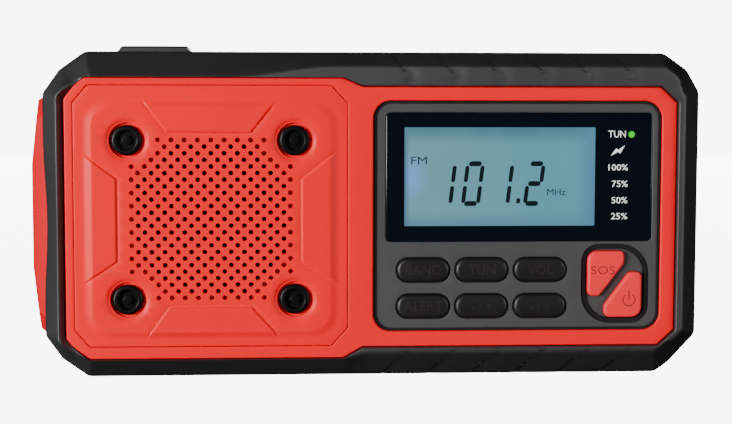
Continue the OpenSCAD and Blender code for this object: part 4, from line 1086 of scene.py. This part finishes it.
def lamp_rim():
    """A ring with a sloped skirt, closed at the button's sides. Its depths are below the button's top."""
    (x0, y0, _), (x1, y1, top) = [[c / MM for c in corner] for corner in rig.box("lamp_button")]
    hole = pill(0, 0, x1 - x0 + 0.3, y1 - y0 + 0.3, 14)
    skirt = rectangle(-9.2, 9.2, -7.4, 7.4, 1.2, 5)
    crest = rectangle(-8.5, 8.5, -6.9, 6.9, 1.0, 5)
    section = ((skirt, 0.75), (crest, 0.12), (hole, 0.12), (hole, 0.75))
    angles = np.radians(np.arange(0, 360, 5))
    middle_x, middle_y = (x0 + x1) / 2, (y0 + y1) / 2
    verts, faces = [], []
    for a in angles:
        ca, sa = math.cos(a), math.sin(a)
        for loop, below in section:
            r = ray_length(loop, ca, sa)
            verts.append(((middle_x + r * ca) * MM, (middle_y + r * sa) * MM, (top - below) * MM))
    k = len(section)
    for i in range(len(angles)):
        j = (i + 1) % len(angles)
        for a in range(k):
            b = (a + 1) % k
            faces.append((k * i + a, k * j + a, k * j + b, k * i + b))
    return add_mesh("lamp_button_rim", verts, faces, SHELL, smooth=30)


trim(lamp_rim(), "rear_shell")


# ------------------------------------------------------------------ floor, light and camera

# the camera alone sees the pale floor and surroundings, so the object is lit by the soft lights only
floor_pale = material("floor_pale", srgb(150, 150, 150), 0.7, mottle=0.01, mottle_scale=3, grain=300,
                      bump=0.02, specular=0.0, emission=(1, 1, 1, 1), strength=8)
floor = add_mesh("floor", [(-4, -4, 0), (4, -4, 0), (4, 4, 0), (-4, 4, 0)], [(0, 1, 2, 3)], floor_pale)
floor.visible_diffuse = floor.visible_glossy = floor.visible_transmission = False
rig.stage(floor)


def area_light(name, place, width, height, power):
    """A soft rectangle of light, aimed at the middle of the front."""
    data = bpy.data.lights.new(name, "AREA")
    data.energy = power
    data.shape = "RECTANGLE"
    data.size, data.size_y = width, height
    light = linked(name, data)
    light.location = place
    aim = Vector((0, 0, MID_Z * MM)) - Vector(place)
    light.rotation_euler = aim.to_track_quat("-Z", "Y").to_euler()
    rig.stage(light)


area_light("key_left", (-1.08, -0.93, 0.16), 0.7, 0.45, 42)
area_light("fill_right", (1.1, -0.95, 0.2), 0.6, 0.5, 8)
area_light("back_soft", (0.1, 1.3, 0.32), 1.0, 0.45, 36)

world = bpy.data.worlds.new("studio")
bpy.context.scene.world = world
world.use_nodes = True
world.node_tree.nodes["Background"].inputs["Color"].default_value = (1, 1, 1, 1)
world.node_tree.nodes["Background"].inputs["Strength"].default_value = 8
seen = world.cycles_visibility
seen.diffuse = seen.glossy = seen.transmission = seen.scatter = False

lens_data = bpy.data.cameras.new("view")
lens_data.lens = 75.05
lens_data.sensor_width = 36
lens_data.clip_start = 0.01
camera = linked("view", lens_data)
to_right, upwards, roll = (math.radians(a) for a in (3.1, -4.5, 0.1))
camera.matrix_world = (Matrix.Translation((-23.2 * MM, -411.1 * MM, (31.4 + MID_Z) * MM))
                       @ Matrix.Rotation(-to_right, 4, "Z") @ Matrix.Rotation(math.pi / 2 + upwards, 4, "X")
                       @ Matrix.Rotation(roll, 4, "Z"))
bpy.context.scene.camera = camera

write_size("scene")
